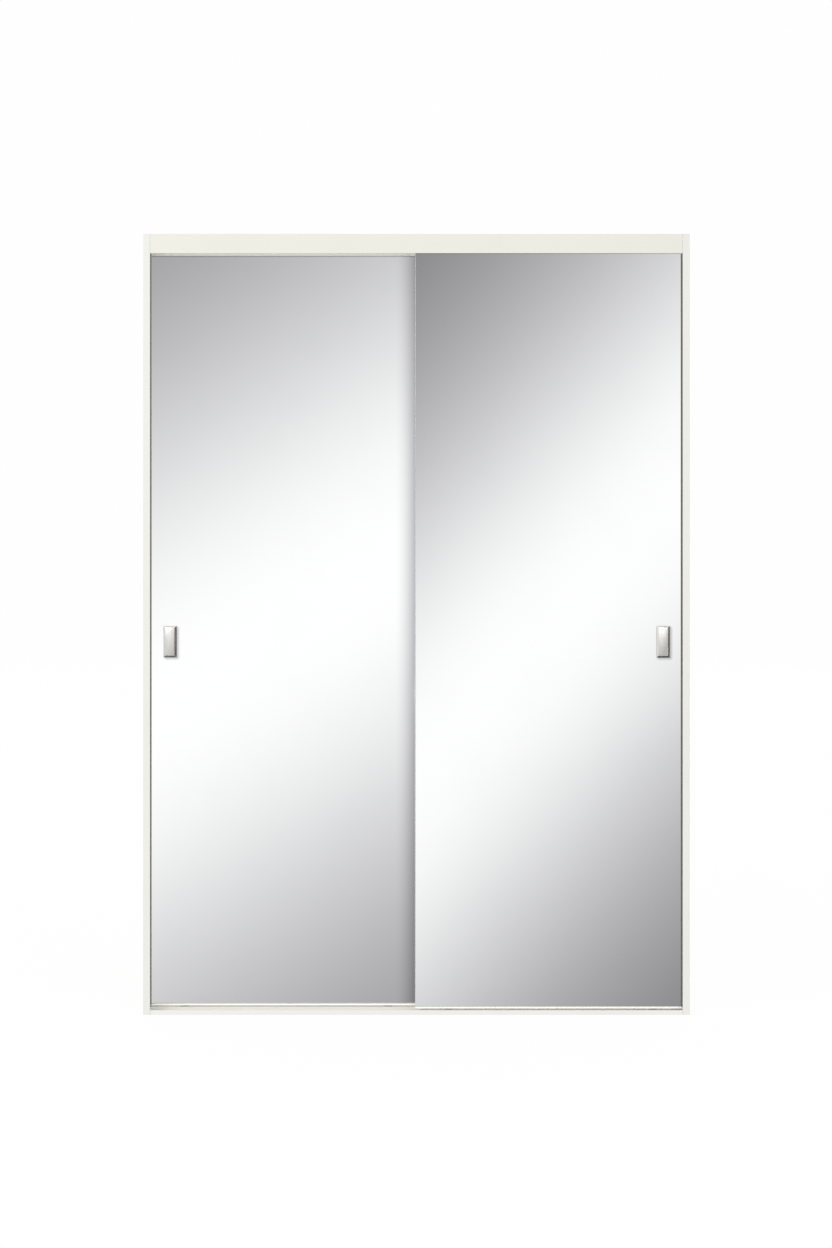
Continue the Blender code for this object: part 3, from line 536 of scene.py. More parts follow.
def dress(node_names, material):
    """Give carried-over solids a finish."""
    for name in node_names:
        nodes[name].data.materials.clear()
        nodes[name].data.materials.append(material)


for coat, names in COATED:
    dress(names, coat)
print("coated solids:", sum(len(names) for coat, names in COATED))

# %% [markdown]
# Near its top and outer edge the rear mirror would show the inside of the head track and of the left jamb.
# The photograph's mirror shows only its glow there, so those two are kept out of reflections.

# %% Keep the frame out of the mirror
UNREFLECTED = ("head_track", "left_jamb")
for name in UNREFLECTED:
    nodes[name].visible_glossy = False
print("not reflected:", UNREFLECTED)

# %% [markdown]
# Below each mirror the rail's toe shows as a bright line in the photograph. The sill's lip keeps most of the
# dome's light off it. A whiter coat could not make up for that, so each bottom rail has a low soft box in
# front that is linked to it alone. The rear toe lies deeper in the sill and gets more.

# %% A low light for the toes
TOE_BOX = {"place": (0.0, -3.2, 0.25), "target": (0.0, 0.0, 0.017), "size": (2.6, 0.5)}
TOE_WATTS = (19.0, 34.0)
for door, watts in zip(DOORS, TOE_WATTS):
    soft_box(door + "_toe_soft_box", watts=watts, receiver=nodes[door + "_bottom_rail"], **TOE_BOX)
print("low lights linked to the bottom rails")

# %% [markdown]
# ## Turning arrays into pieces
# A piece can be pushed and pulled into shape by hand, but a formula keeps its sizes in sight. So every new
# piece below is computed as whole arrays: a grid of points, and quads that join neighbours. The record says
# which body carries a solid, and the piece that stands for it rides on that body.

# %% Faces, bodies and slots
def grid_faces(rows, columns):
    """Quads over a rows by columns grid of points whose last column joins its first."""
    row = np.arange(rows - 1)[:, None] * columns
    next_row = row + columns
    column = np.arange(columns)[None, :]
    beside = (column + 1) % columns
    corners = (row + column, row + beside, next_row + beside, next_row + column)
    return np.stack(np.broadcast_arrays(*corners), axis=-1).reshape(-1, 4).tolist()


def body_of_node(node_name):
    """The body that carries a solid."""
    bodies = frame["record"]["behaviour"]["bodies"]
    return next(body for body, members in bodies.items() if node_name in members)


print("the front mirror rides on", body_of_node("front_door_mirror"))

# %% [markdown]
# One function turns such arrays into an object. It merges the seam of a closed shape, makes its faces look
# outwards, smooths it up to a sharp angle and ties it to the body that carries it.

# %% The piece maker
WELD = 1e-6


def make_piece(name, points, faces, materials, node_name, face_slots=None, sharp=35.0):
    """Make one object from points in metres; it stands for a solid and rides on that solid's body."""
    mesh = bpy.data.meshes.new(name)
    mesh.from_pydata(np.asarray(points).reshape(-1, 3).tolist(), [], faces)
    for material in materials:
        mesh.materials.append(material)
    if face_slots is not None:
        mesh.polygons.foreach_set("material_index", face_slots)
    shell = bmesh.new()
    shell.from_mesh(mesh)
    bmesh.ops.remove_doubles(shell, verts=shell.verts, dist=WELD)
    bmesh.ops.recalc_face_normals(shell, faces=shell.faces)
    shell.to_mesh(mesh)
    shell.free()
    mesh.shade_smooth()
    mesh.set_sharp_from_angle(angle=math.radians(sharp))
    piece = bpy.data.objects.new(name, mesh)
    scene.collection.objects.link(piece)
    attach(piece, body_of_node(node_name))
    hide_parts(node_name)
    return piece


print("piece maker ready")

# %% [markdown]
# Many pieces are plates or blocks: a rectangle with round corners that grows or shrinks a little from one
# level to the next. A cube with a Bevel modifier would do for some of them, but loops suit all.
# `rounded_loop` draws the rectangle, and `loft` carries such loops from level to level and caps both ends.

# %% Loops and lofts
def rounded_loop(low, high, radius, steps):
    """Points of a rectangle whose four corners are quarter circles: centre + radius * (cos, sin)."""
    centres = np.array([(high[0], high[1]), (low[0], high[1]), (low[0], low[1]), (high[0], low[1])])
    centres = centres + radius * np.array([(-1, -1), (1, -1), (1, 1), (-1, 1)])
    angles = np.linspace(0.0, math.pi / 2, steps + 1)[None, :] + np.arange(4)[:, None] * math.pi / 2
    spokes = np.stack([np.cos(angles), np.sin(angles)], axis=-1)
    return (centres[:, None, :] + radius * spokes).reshape(-1, 2)


def loft(loops, levels, axis):
    """Carry loops through levels along Y (loops hold x, z) or Z (loops hold x, y); the ends are capped."""
    loops = np.asarray(loops)
    rows, count = loops.shape[:2]
    along = np.broadcast_to(np.asarray(levels)[:, None], (rows, count))
    order = {"Y": (loops[..., 0], along, loops[..., 1]), "Z": (loops[..., 0], loops[..., 1], along)}
    caps = [list(range(count)), list(range((rows - 1) * count, rows * count))]
    return np.stack(order[axis], axis=-1), grid_faces(rows, count) + caps


print("loft ready")

# %% [markdown]
# Glass, foam and nylon have edges that are a little drawn in. `eased` says how far at each level, and
# `slab_across` makes the whole slab in the place of a solid that lies across the depth of the door.

# %% Slabs with eased faces
EASE_SHARE = 0.3
LEAST_CORNER = 0.1


def eased(start, end, ease):
    """Rows of (inset, level) from start up to end; the inset falls from ease to 0 over the length ease."""
    part = EASE_SHARE * ease
    return [(ease, start), (part, start + part), (0.0, start + ease),
            (0.0, end - ease), (part, end - part), (ease, end)]


def slab_loops(low, high, radius, steps, stations):
    """The loops and levels of a rounded rectangle carried through (inset, level) stations."""
    low = np.asarray(low, float)
    high = np.asarray(high, float)
    loops = []
    for inset, level in stations:
        corner = max(radius - inset, LEAST_CORNER * radius)
        loops.append(rounded_loop(low + inset, high - inset, corner, steps))
    return loops, [level for inset, level in stations]


def slab_across(node_name, radius, steps, ease):
    """A slab in the place of a solid that lies across the depth of the door, front cap before back cap."""
    low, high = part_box(node_name)
    stations = eased(low.y, high.y, ease)
    return loft(*slab_loops((low.x, low.z), (high.x, high.z), radius, steps, stations), "Y")


print("slabs ready")

# %% [markdown]
# ## The mirrors
# Each mirror is a 4 mm pane of float glass, silvered and painted on the back. The pull's soft shade falls on
# the glass to the right of it and below, but a perfect mirror takes no shadow from a lamp. So the shade is a
# mask in the pane's own metres: the pull's rectangle is drawn in, moved a little right and down, and the
# shade fades with the distance outside it. A second mask darkens the pane where it runs up behind the lower
# edge of the head track.

# %% The shades on the glass
SHADE_REACH = 10.0 * MM
SHADE_INSET = 4.0 * MM
SHADE_SHIFT = (4.5 * MM, -3.5 * MM)
HEAD_SHADE_FADE = 0.8 * MM


def pull_shade(tree, pull_node):
    """1 at the shifted rectangle, falling to 0 at SHADE_REACH outside it."""
    low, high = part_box(pull_node)
    place = axes_of(tree, object_place(tree))
    spans = ((place["X"], low.x, high.x, SHADE_SHIFT[0]), (place["Z"], low.z, high.z, SHADE_SHIFT[1]))
    gaps = []
    for value, near, far, shift in spans:
        from_middle = combine(tree, "ABSOLUTE", combine(tree, "SUBTRACT", value, (near + far) / 2 + shift))
        outside = combine(tree, "SUBTRACT", from_middle, (far - near) / 2 - SHADE_INSET)
        gaps.append(combine(tree, "POWER", combine(tree, "MAXIMUM", outside, 0.0), 2.0))
    distance = combine(tree, "SQRT", combine(tree, "ADD", *gaps))
    return map_range(tree, distance, SHADE_REACH, 0.0, "SMOOTHSTEP")


def head_shade(tree):
    """1 where the pane is higher than the head track's lower edge, 0 below it."""
    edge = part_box("head_track")[0].z
    return map_range(tree, axes_of(tree, object_place(tree))["Z"], edge - HEAD_SHADE_FADE, edge)


print("shade reach in mm:", SHADE_REACH / MM)

# %% [markdown]
# The front of a pane is silver under clear glass. A glass block with a mirror behind it would be the full
# model, but it is slow and looks the same from the front, so the front is one near-perfect metal with a trace
# of film. The edge shows the green of the glass and its grinding lines, and the back is grey paint.

# %% Mirror finishes
CLEAN_SILVER = (0.950, 0.955, 0.953)
FILMED_SILVER = (0.936, 0.942, 0.940)
SHADED_SILVER = (0.12, 0.12, 0.12, 1.0)
SHADE_DEPTH = 0.47
SILVER_ROUGHNESS = (0.004, 0.018)


def silvered_front(door):
    """Silver seen through clear glass: a near-perfect reflector with a trace of film and the two shades."""
    material, shader = new_finish(door + "_silver", Metallic=1.0)
    tree = material.node_tree
    film = place_group(material, FILM, Scale=4.0)
    clean = tint(material, shader, film, CLEAN_SILVER, FILMED_SILVER)
    shades = combine(tree, "MAXIMUM", pull_shade(tree, door + "_pull"), head_shade(tree))
    shade = combine(tree, "MULTIPLY", shades, SHADE_DEPTH)
    tree.links.new(blend_colour(tree, shade, clean, SHADED_SILVER), shader.inputs["Base Color"])
    roughen(material, shader, film, *SILVER_ROUGHNESS)
    return material


GLASS_EDGE = grained_finish(
    "ground_glass_edge",
    grain={"Stretch": (1.0, 8.0, 1.0), "Scale": 500.0},
    colours=((0.30, 0.47, 0.41), (0.46, 0.62, 0.56)),
    roughness=(0.18, 0.34),
    bump=0.03 * MM,
    IOR=1.52,
)
BACK_PAINT = grained_finish(
    "mirror_back_paint",
    grain={"Scale": 220.0},
    colours=((0.25, 0.27, 0.28), (0.31, 0.33, 0.34)),
    roughness=(0.50, 0.66),
    bump=0.03 * MM,
)
print("mirror finishes:", GLASS_EDGE.name, BACK_PAINT.name)

# %% [markdown]
# A cut pane would be sharp enough to hurt, so its edges are ground and the corners between edge and face are
# taken off. A plain box has no such arris to catch the light, so the pane is a slab with eased faces. It is
# made with one finish for its front, one for its edge and one for its back.

# %% The panes
ARRIS = 0.7 * MM
PANE_CORNER = 1.2 * MM
PANE_CORNER_STEPS = 3
FRONT_FINISH, EDGE_FINISH, BACK_FINISH = range(3)


def build_pane(door):
    """One mirror pane in the place of its solid; the last two faces are its front and its back."""
    node_name = door + "_mirror"
    points, faces = slab_across(node_name, PANE_CORNER, PANE_CORNER_STEPS, ARRIS)
    face_slots = np.full(len(faces), EDGE_FINISH)
    face_slots[-2] = FRONT_FINISH
    face_slots[-1] = BACK_FINISH
    finishes = [silvered_front(door), GLASS_EDGE, BACK_PAINT]
    return make_piece(node_name + "_pane", points, faces, finishes, node_name, face_slots, sharp=20.0)


panes = [build_pane(door) for door in DOORS]
print("panes:", [pane.name for pane in panes])

# %% [markdown]
# ## The finger pulls
# Each pull is a raised block of brushed nickel with wide mitred bevels and a softly crowned face. Brushing
# could be faked with an anisotropic shader, but its lines would not show up close. So a grain that is
# stretched up and down shifts the colour, the roughness and the height a little.

# %% Nickel
NICKEL = grained_finish(
    "brushed_nickel",
    grain={"Stretch": (1.0, 1.0, 0.02), "Scale": 2600.0},
    colours=((0.70, 0.694, 0.655), (0.83, 0.824, 0.785)),
    roughness=(0.26, 0.36),
    bump=0.01 * MM,
    Metallic=1.0,
)
print("nickel ready:", NICKEL.name)

# %% [markdown]
# The block could be a bevelled cube, but its crown runs into its bevels, so it is a height over the glass.
# With d the distance to the nearest edge, a straight ramp of width b with softened ends is
# soft(d) - soft(d - b), where soft(x) = log(1 + exp(k x)) / k. Grid lines at the same distances from every
# edge put the mitres on grid points, so they stay crisp.

# %% The pull's height
PULL_RIM = 1.5 * MM
PULL_BEVEL = 5.0 * MM
PULL_CROWN = 1.8 * MM
PULL_BOW = 0.8 * MM
PULL_SOFTNESS = 5000.0
BEVEL_LINES = np.array([0.0, 0.1, 0.25, 0.5, 1.0, 1.8, 2.6, 3.4, 4.2, 4.6, 4.8, 5.0, 5.2, 5.4, 5.8]) * MM


def soft_ramp(distance):
    """A ramp of width PULL_BEVEL with rounded ends, from 0 to 1."""
    start = np.logaddexp(0.0, PULL_SOFTNESS * distance) / PULL_SOFTNESS
    end = np.logaddexp(0.0, PULL_SOFTNESS * (distance - PULL_BEVEL)) / PULL_SOFTNESS
    return (start - end) / PULL_BEVEL


def edge_lines(low, high, middle_count):
    """Grid stations from low to high: the bevel's lines at both ends and even steps between."""
    middle = np.linspace(low + BEVEL_LINES[-1], high - BEVEL_LINES[-1], middle_count + 2)[1:-1]
    return np.concatenate([low + BEVEL_LINES, middle, (high - BEVEL_LINES)[::-1]])


def pull_height(x, z, low, high):
    """Height over the back: rim + ramp * (rise + crown * (1 - (z / half) ** 2) + the same bow across)."""
    distance = np.minimum(np.minimum(x - low.x, high.x - x), np.minimum(z - low.z, high.z - z))
    dome = np.zeros_like(x)
    for place, near, far, height in ((z, low.z, high.z, PULL_CROWN), (x, low.x, high.x, PULL_BOW)):
        from_middle = (place - (near + far) / 2) / ((far - near) / 2 - PULL_BEVEL)
        dome = dome + height * np.clip(1.0 - from_middle ** 2, 0.0, 1.0)
    rise = high.y - low.y - PULL_RIM - PULL_CROWN - PULL_BOW
    return PULL_RIM + soft_ramp(distance) * (rise + dome)


print("pull bevel in mm:", PULL_BEVEL / MM)

# %% [markdown]
# A height alone is an open sheet. Side walls down from its rim and one flat back face close it, so that the
# block is solid from every side.

# %% The pulls
FACE_COLUMNS = 9
FACE_ROWS = 27


def open_grid_faces(rows, columns):
    """Quads over a grid with four free edges: the closed grid without the quads that wrap round."""
    quads = np.array(grid_faces(rows, columns)).reshape(rows - 1, columns, 4)
    return quads[:, :-1].reshape(-1, 4).tolist()


def build_pull(door):
    """Height field over the pull's outline, closed by side walls and a flat back."""
    node_name = door + "_pull"
    low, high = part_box(node_name)
    x, z = np.meshgrid(edge_lines(low.x, high.x, FACE_COLUMNS), edge_lines(low.z, high.z, FACE_ROWS))
    field = np.stack([x, high.y - pull_height(x, z, low, high), z], axis=-1).reshape(-1, 3)
    rows, columns = x.shape
    index = np.arange(rows * columns).reshape(rows, columns)
    rim = np.concatenate([index[0, :-1], index[:-1, -1], index[-1, :0:-1], index[:0:-1, 0]])
    base = field[rim] * (1.0, 0.0, 1.0) + (0.0, high.y, 0.0)
    foot = rows * columns + np.arange(len(rim))
    walls = np.stack([rim, np.roll(rim, -1), np.roll(foot, -1), foot], axis=-1)
    points = np.concatenate([field, base])
    faces = open_grid_faces(rows, columns) + walls.tolist() + [foot.tolist()]
    return make_piece(node_name + "_block", points, faces, [NICKEL], node_name, sharp=50.0)


pulls = [build_pull(door) for door in DOORS]
print("pulls:", [len(pull.data.polygons) for pull in pulls])

# %% [markdown]
# In the photograph both pulls have a light top left and a darker bottom right. The painted strips don't give
# that by themselves, so each pull has its own soft box, linked to it alone. The box hangs where a face that
# looks a little up and left mirrors it to the camera: with h that face's normal and v the direction to the
# camera, the box lies along 2 (h . v) h - v.

# %% The pulls' soft boxes
POLISH_NORMALS = (Vector((-0.060, -0.973, 0.222)), Vector((-0.075, -0.969, 0.236)))
POLISH_WATTS = (66.0, 82.0)
POLISH_DISTANCE = 5.0
POLISH_SIZE = (2.4, 2.0)


def light_pull(pull, normal, watts):
    """Hang a soft box for one pull and link it to that pull alone."""
    middle = (Vector(pull.bound_box[0]) + Vector(pull.bound_box[6])) / 2
    to_camera = (camera.location - middle).normalized()
    place = middle + POLISH_DISTANCE * (2.0 * normal.dot(to_camera) * normal - to_camera)
    return soft_box(pull.name + "_soft_box", place, middle, POLISH_SIZE, watts, pull)


print("pull lights:", [light_pull(*row).name for row in zip(pulls, POLISH_NORMALS, POLISH_WATTS)])

# %% [markdown]
# ## Foam: mirror tapes and pull pads
# Black foam tape bonds each pane to its stiles, and a thin pad of the same foam holds each pull. A soft-body
# simulation could squeeze it, but the bulge of so thin a strip is known: the outline is drawn in at both
# faces and full in the middle. That is the pane's slab with other sizes.

# %% Foam pieces
TAPE_EASE = 0.7 * MM
PAD_CORNER = 3.0 * MM
PAD_EASE = 0.35 * MM
FOAM_CORNER_STEPS = 4
FOAM = grained_finish(
    "black_foam",
    grain={"Scale": 1400.0},
    colours=((0.030, 0.030, 0.031), (0.085, 0.085, 0.084)),
    roughness=(0.80, 0.95),
    bump=0.2 * MM,
)


def build_foam(node_name, radius, ease):
    """A foam slab that lies across the depth of the door."""
    points, faces = slab_across(node_name, radius, FOAM_CORNER_STEPS, ease)
    return make_piece(node_name + "_foam", points, faces, [FOAM], node_name)


foams = [build_foam(f"{door}_{side}_mirror_tape", TAPE_EASE, TAPE_EASE) for door in DOORS for side in SIDES]
foams += [build_foam(door + "_pull_pad", PAD_CORNER, PAD_EASE) for door in DOORS]
print("foam pieces:", len(foams))

# %% [markdown]
# ## Pile: buffers and jamb brushes
# Woven pile lines the jambs in two places. The buffers are wide strips that a door closes against, and the
# brushes are thin dark ones on the jambs' returns that keep draughts and dust off the front door. Both are
# cut yarn: matte, with a little sheen on the tips and fibres that lie across the strip.

# %% Pile finishes
PILE_LOOKS = {
    "grain": {"Stretch": (0.3, 0.3, 1.0), "Scale": 1800.0},
    "roughness": (0.85, 1.0),
    "bump": 0.3 * MM,
    "Sheen_Weight": 0.25,
    "Sheen_Roughness": 0.6,
}
BUFFER_COLOURS = ((0.34, 0.34, 0.33), (0.56, 0.56, 0.54))
BRUSH_COLOURS = ((0.066, 0.058, 0.034), (0.150, 0.135, 0.088))
BUFFER_PILE = grained_finish("grey_pile", colours=BUFFER_COLOURS, **PILE_LOOKS)
BRUSH_PILE = grained_finish("dark_pile", colours=BRUSH_COLOURS, **PILE_LOOKS)
print("pile finishes:", BUFFER_PILE.name, BRUSH_PILE.name)

# %% [markdown]
# Hair particles could stand for the yarn, but a strip two metres long would need very many. The yarn is set
# in rows, so the surface is a cross-section carried up the jamb, with tufts of uneven length. A seeded random
# table gives each tuft its own length, and no tuft is longer than the solid allows.

# %% Carry a soft section up the jamb
TUFT_PITCH = 2.4 * MM


def carried(section, soft, droop, low_z, high_z, seed):
    """Section (x, y) at many heights: section - soft * droop * shortfall, random from 0 to 1 per tuft."""
    rows = int((high_z - low_z) / TUFT_PITCH)
    shortfall = np.random.default_rng(seed).random((rows, len(section), 1))
    loops = section[None] - soft[None, :, None] * shortfall * droop[None]
    return loft(loops, np.linspace(low_z, high_z, rows), "Z")


print("tuft pitch in mm:", TUFT_PITCH / MM)

# %% [markdown]
# A buffer has a flat woven backing on the jamb and a cushion of pile. A box would show hard edges where the
# real pile thins out, so the height over the strip is a flat dome, 1 - (2 t) ** 4 with t across the strip.

# %% The buffers
BACKING = 0.9 * MM
PILE_COLUMNS = 13
BUFFER_LOOSE = 0.7 * MM


def build_buffer(side, channel):
    """Buffer: backing on the jamb, and pile that rises from it by 1 - (2 t) ** 4, t across the strip."""
    node_name = f"{side}_{channel}_pile_strip"
    low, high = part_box(node_name)
    wall, face = (low.x, high.x) if side == "left" else (high.x, low.x)
    root = wall + BACKING * np.sign(face - wall)
    t = np.linspace(-0.5, 0.5, PILE_COLUMNS)
    dome = 1.0 - (2.0 * t) ** 4
    y = (low.y + high.y) / 2 + t * (high.y - low.y)
    pile = np.stack([root + (face - root) * dome, y], axis=-1)
    back = np.array([(wall, high.y), (wall, low.y)])
    soft = np.concatenate([dome, (0.0, 0.0)])
    droop = np.tile((BUFFER_LOOSE * np.sign(face - wall), 0.0), (PILE_COLUMNS + 2, 1))
    points, faces = carried(np.concatenate([pile, back]), soft, droop, low.z, high.z, seed=len(node_name))
    return make_piece(node_name + "_pile", points, faces, [BUFFER_PILE], node_name, sharp=60.0)


buffers = [build_buffer(side, channel) for side in SIDES for channel in ("front", "rear")]
print("buffers:", [len(piece.data.polygons) for piece in buffers])

# %% [markdown]
# A jamb brush is wide at its root on the jamb's return and narrow at its tips by the glass, so its inner side
# is a parabola. It is loose at the tips and firm at the root. The left brush stands before the rear mirror,
# and is kept out of reflections as its jamb is.

# %% The jamb brushes
BRUSH_TIP_WIDTH = 1.6 * MM
BRUSH_COLUMNS = 9
BRUSH_LOOSE = 0.35 * MM
ROOT_SOFTNESS = 0.2


def build_brush(side):
    """Brush: from face at its root to tip at the glass, x = face + (tip - face) * reach ** 2."""
    node_name = side + "_jamb_brush"
    low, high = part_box(node_name)
    wall, face = (low.x, high.x) if side == "left" else (high.x, low.x)
    reach = np.linspace(0.0, 1.0, BRUSH_COLUMNS)
    tip = wall + BRUSH_TIP_WIDTH * np.sign(face - wall)
    bristles = np.stack([face + (tip - face) * reach ** 2, low.y + (high.y - low.y) * reach], axis=-1)
    back = np.array([(wall, high.y), (wall, low.y)])
    soft = np.concatenate([ROOT_SOFTNESS + (1.0 - ROOT_SOFTNESS) * reach, (1.0, 0.0)])
    inward = np.full(BRUSH_COLUMNS, BRUSH_LOOSE * np.sign(face - wall))
    leaning = np.stack([inward, BRUSH_LOOSE * reach], axis=-1)
    droop = np.concatenate([leaning, [(0.0, BRUSH_LOOSE), (0.0, 0.0)]])
    points, faces = carried(np.concatenate([bristles, back]), soft, droop, low.z, high.z, seed=len(node_name))
    return make_piece(node_name + "_bristles", points, faces, [BRUSH_PILE], node_name, sharp=60.0)


brushes = [build_brush(side) for side in SIDES]
brushes[0].visible_glossy = False
print("brushes:", [len(piece.data.polygons) for piece in brushes])

# %% [markdown]
# ## Nylon: top guides and wheels
# The guides and the wheels are moulded from natural nylon: warm white, waxy, with the fine spark-eroded
# texture of the mould. A guide is a foot that clips into the top rail and a wide head with round ends that
# fills the head channel. Two joined blocks would leave a seam, so one set of loops changes from a narrow
# rectangle to a wide one.

# %% Nylon and the top guides
GUIDE_FOOT_CORNER = 0.6 * MM
GUIDE_END = 8.0 * MM
GUIDE_EASE = 0.8 * MM
GUIDE_NECK_Z = 2074.0 * MM
GUIDE_FOOT_HALF = 5.7 * MM
GUIDE_CORNER_STEPS = 8
NYLON = grained_finish(
    "moulded_nylon",
    grain={"Scale": 1100.0},
    colours=((0.80, 0.79, 0.74), (0.74, 0.73, 0.67)),
    roughness=(0.36, 0.50),
    bump=0.03 * MM,
    cloud=60.0,
    Subsurface_Weight=0.08,
    Subsurface_Scale=0.002,
)


def build_guide(node_name):
    """Top guide: foot loops up to the neck, then head loops up to the top, with eased head edges."""
    low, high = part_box(node_name)
    middle = (low.y + high.y) / 2
    foot_low = (low.x, middle - GUIDE_FOOT_HALF)
    foot_high = (high.x, middle + GUIDE_FOOT_HALF)
    foot = [rounded_loop(foot_low, foot_high, GUIDE_FOOT_CORNER, GUIDE_CORNER_STEPS)] * 2
    stations = eased(GUIDE_NECK_Z, high.z, GUIDE_EASE)
    outline = ((low.x, low.y), (high.x, high.y))
    head, head_levels = slab_loops(*outline, GUIDE_END, GUIDE_CORNER_STEPS, stations)
    points, faces = loft(foot + head, [low.z, GUIDE_NECK_Z, *head_levels], "Z")
    return make_piece(node_name + "_moulding", points, faces, [NYLON], node_name)


guides = [build_guide(f"{door}_{side}_top_guide") for door in DOORS for side in SIDES]
print("guides:", len(guides))

# %% [markdown]
# Wheels, axles and screws are turned: a section goes round an axis. A Screw modifier can do that, but ribs,
# threads and recesses also need the angle, so the turn is an array here. Mouldings have no knife edges, so
# each corner B of a section can become a short parabola between points A and C on its two sides:
# (1 - t)^2 A + 2 t (1 - t) B + t^2 C.

# %% Turned sections
MOST_OF_A_SIDE = 0.45


def soften(corners, reach, steps):
    """Replace each corner of a closed polygon by a parabola that starts and ends at most reach from it."""
    corners = np.asarray(corners, float)
    sides = np.stack([np.roll(corners, 1, axis=0), np.roll(corners, -1, axis=0)]) - corners
    lengths = np.linalg.norm(sides, axis=-1, keepdims=True)
    start, end = corners + sides / lengths * np.minimum(reach, MOST_OF_A_SIDE * lengths)
    t = np.linspace(0.0, 1.0, steps + 1)[None, :, None]
    curve = (1 - t) ** 2 * start[:, None] + 2 * t * (1 - t) * corners[:, None] + t ** 2 * end[:, None]
    return curve.reshape(-1, 2)


def turn(section, steps):
    """Turn (radius, station) rows about an axis: radius * cos, radius * sin, station, and the angles."""
    angles = np.arange(steps) * math.tau / steps
    across = section[:, :1] * np.cos(angles)
    upward = section[:, :1] * np.sin(angles)
    return across, upward, np.broadcast_to(section[:, 1:], across.shape), angles


def along_y(middle, across, upward, station):
    """Points of a turned surface whose axis lies along Y through middle."""
    return np.stack([middle.x + across, middle.y + station, middle.z + upward], axis=-1)


print("turning ready")

# %% [markdown]
# A wheel has a hub, a thin web and a rim, and its tread has a round groove that sits on the sill's ridge. The
# groove is a parabola. Six ribs stiffen the web. They could be blocks set on it, but a moulded rib flows into
# the web, so they lift it by max(0, cos(6 angle)) to a high power.

# %% The wheels
WHEEL_TURN_STEPS = 96
WHEEL_SOFT = 0.35 * MM
WHEEL_SOFT_STEPS = 3
WHEEL_BORE, WHEEL_HUB, WHEEL_WEB, WHEEL_RUN, WHEEL_RIM = np.array([2.8, 5.4, 9.4, 11.5, 13.5]) * MM
HUB_HALF, WEB_HALF, RIM_HALF, GROOVE_HALF = np.array([3.6, 1.8, 3.2, 2.3]) * MM
GROOVE_POINTS = 11
RIB_HEIGHT = 0.8 * MM
RIB_COUNT = 6
RIB_SHARPNESS = 9


def wheel_section():
    """The wheel's closed section; the groove is a parabola, run + (rim - run) * (y / half) ** 2."""
    y = np.linspace(GROOVE_HALF, -GROOVE_HALF, GROOVE_POINTS)
    groove = np.stack([WHEEL_RUN + (WHEEL_RIM - WHEEL_RUN) * (y / GROOVE_HALF) ** 2, y], axis=-1)
    hub = [(WHEEL_HUB, HUB_HALF), (WHEEL_HUB, WEB_HALF)]
    rim = [(WHEEL_WEB, WEB_HALF), (WHEEL_WEB, RIM_HALF), (WHEEL_RIM, RIM_HALF)]
    far_side = [(radius, -station) for radius, station in (hub + rim)[::-1]]
    return np.concatenate([[(WHEEL_BORE, -HUB_HALF), (WHEEL_BORE, HUB_HALF)], hub, rim, groove, far_side])


def build_wheel(node_name):
    """One wheel about its axle, with ribs on both faces of its web."""
    low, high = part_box(node_name)
    section = soften(wheel_section(), WHEEL_SOFT, WHEEL_SOFT_STEPS)
    section = np.concatenate([section, section[:1]])
    across, upward, station, angles = turn(section, WHEEL_TURN_STEPS)
    on_web = (section[:, 0] > WHEEL_HUB - WHEEL_SOFT / 2) & (section[:, 0] < WHEEL_WEB + WHEEL_SOFT / 2)
    on_web = on_web & (np.abs(section[:, 1]) < WEB_HALF + WHEEL_SOFT / 2)
    rib = RIB_HEIGHT * np.maximum(0.0, np.cos(RIB_COUNT * angles)) ** RIB_SHARPNESS
    station = station + np.where(on_web, np.sign(section[:, 1]), 0.0)[:, None] * rib[None]
    points = along_y((low + high) / 2, across, upward, station)
    faces = grid_faces(len(section), WHEEL_TURN_STEPS)
    return make_piece(node_name + "_moulding", points, faces, [NYLON], node_name, sharp=40.0)


wheels = [build_wheel(f"{door}_{side}_roller_wheel") for door in DOORS for side in SIDES]
print("wheels:", [len(wheel.data.polygons) for wheel in wheels])

# %% [markdown]
# ## Steel: axles, screws and brackets
# The carriages are zinc-plated steel. Zinc has a soft mottle that drifts between blue and straw, over fine
# drawn lines. The brackets keep their solids. Each axle is a pin whose ends are peened over with a small
# dimple. A plain cylinder would miss both, so its section is turned like the wheel's.

# %% Zinc and the axles
AXLE_STEPS = 48
AXLE_RADIUS = 2.5 * MM
PEEN_EASE = 0.6 * MM
DIMPLE_RADIUS = 0.9 * MM
DIMPLE_DEPTH = 0.35 * MM
PEEN_POINTS = 7
ZINC = grained_finish(
    "zinc_plate",
    grain={"Stretch": (0.15, 1.0, 1.0), "Scale": 700.0},
    colours=((0.60, 0.63, 0.68), (0.72, 0.70, 0.62)),
    roughness=(0.26, 0.44),
    bump=0.02 * MM,
    cloud=90.0,
    Metallic=1.0,
)


def build_axle(node_name):
    """A pin along Y: straight barrel, parabolic peened edges and a parabolic dimple at both ends."""
    low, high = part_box(node_name)
    half = (high.y - low.y) / 2
    t = np.linspace(0.0, 1.0, PEEN_POINTS)
    dimple = np.stack([DIMPLE_RADIUS * t, half - DIMPLE_DEPTH * (1.0 - t ** 2)], axis=-1)
    edge = np.stack([AXLE_RADIUS - PEEN_EASE * (1.0 - t) ** 2, half - PEEN_EASE * t ** 2], axis=-1)
    one_end = np.concatenate([dimple, edge])
    section = np.concatenate([one_end, one_end[::-1] * (1.0, -1.0)])
    across, upward, station, angles = turn(section, AXLE_STEPS)
    points = along_y((low + high) / 2, across, upward, station)
    return make_piece(node_name + "_pin", points, grid_faces(len(section), AXLE_STEPS), [ZINC], node_name)


dress([f"{door}_{side}_roller_bracket" for door in DOORS for side in SIDES], ZINC)
axles = [build_axle(f"{door}_{side}_roller_axle") for door in DOORS for side in SIDES]
print("axles:", len(axles))

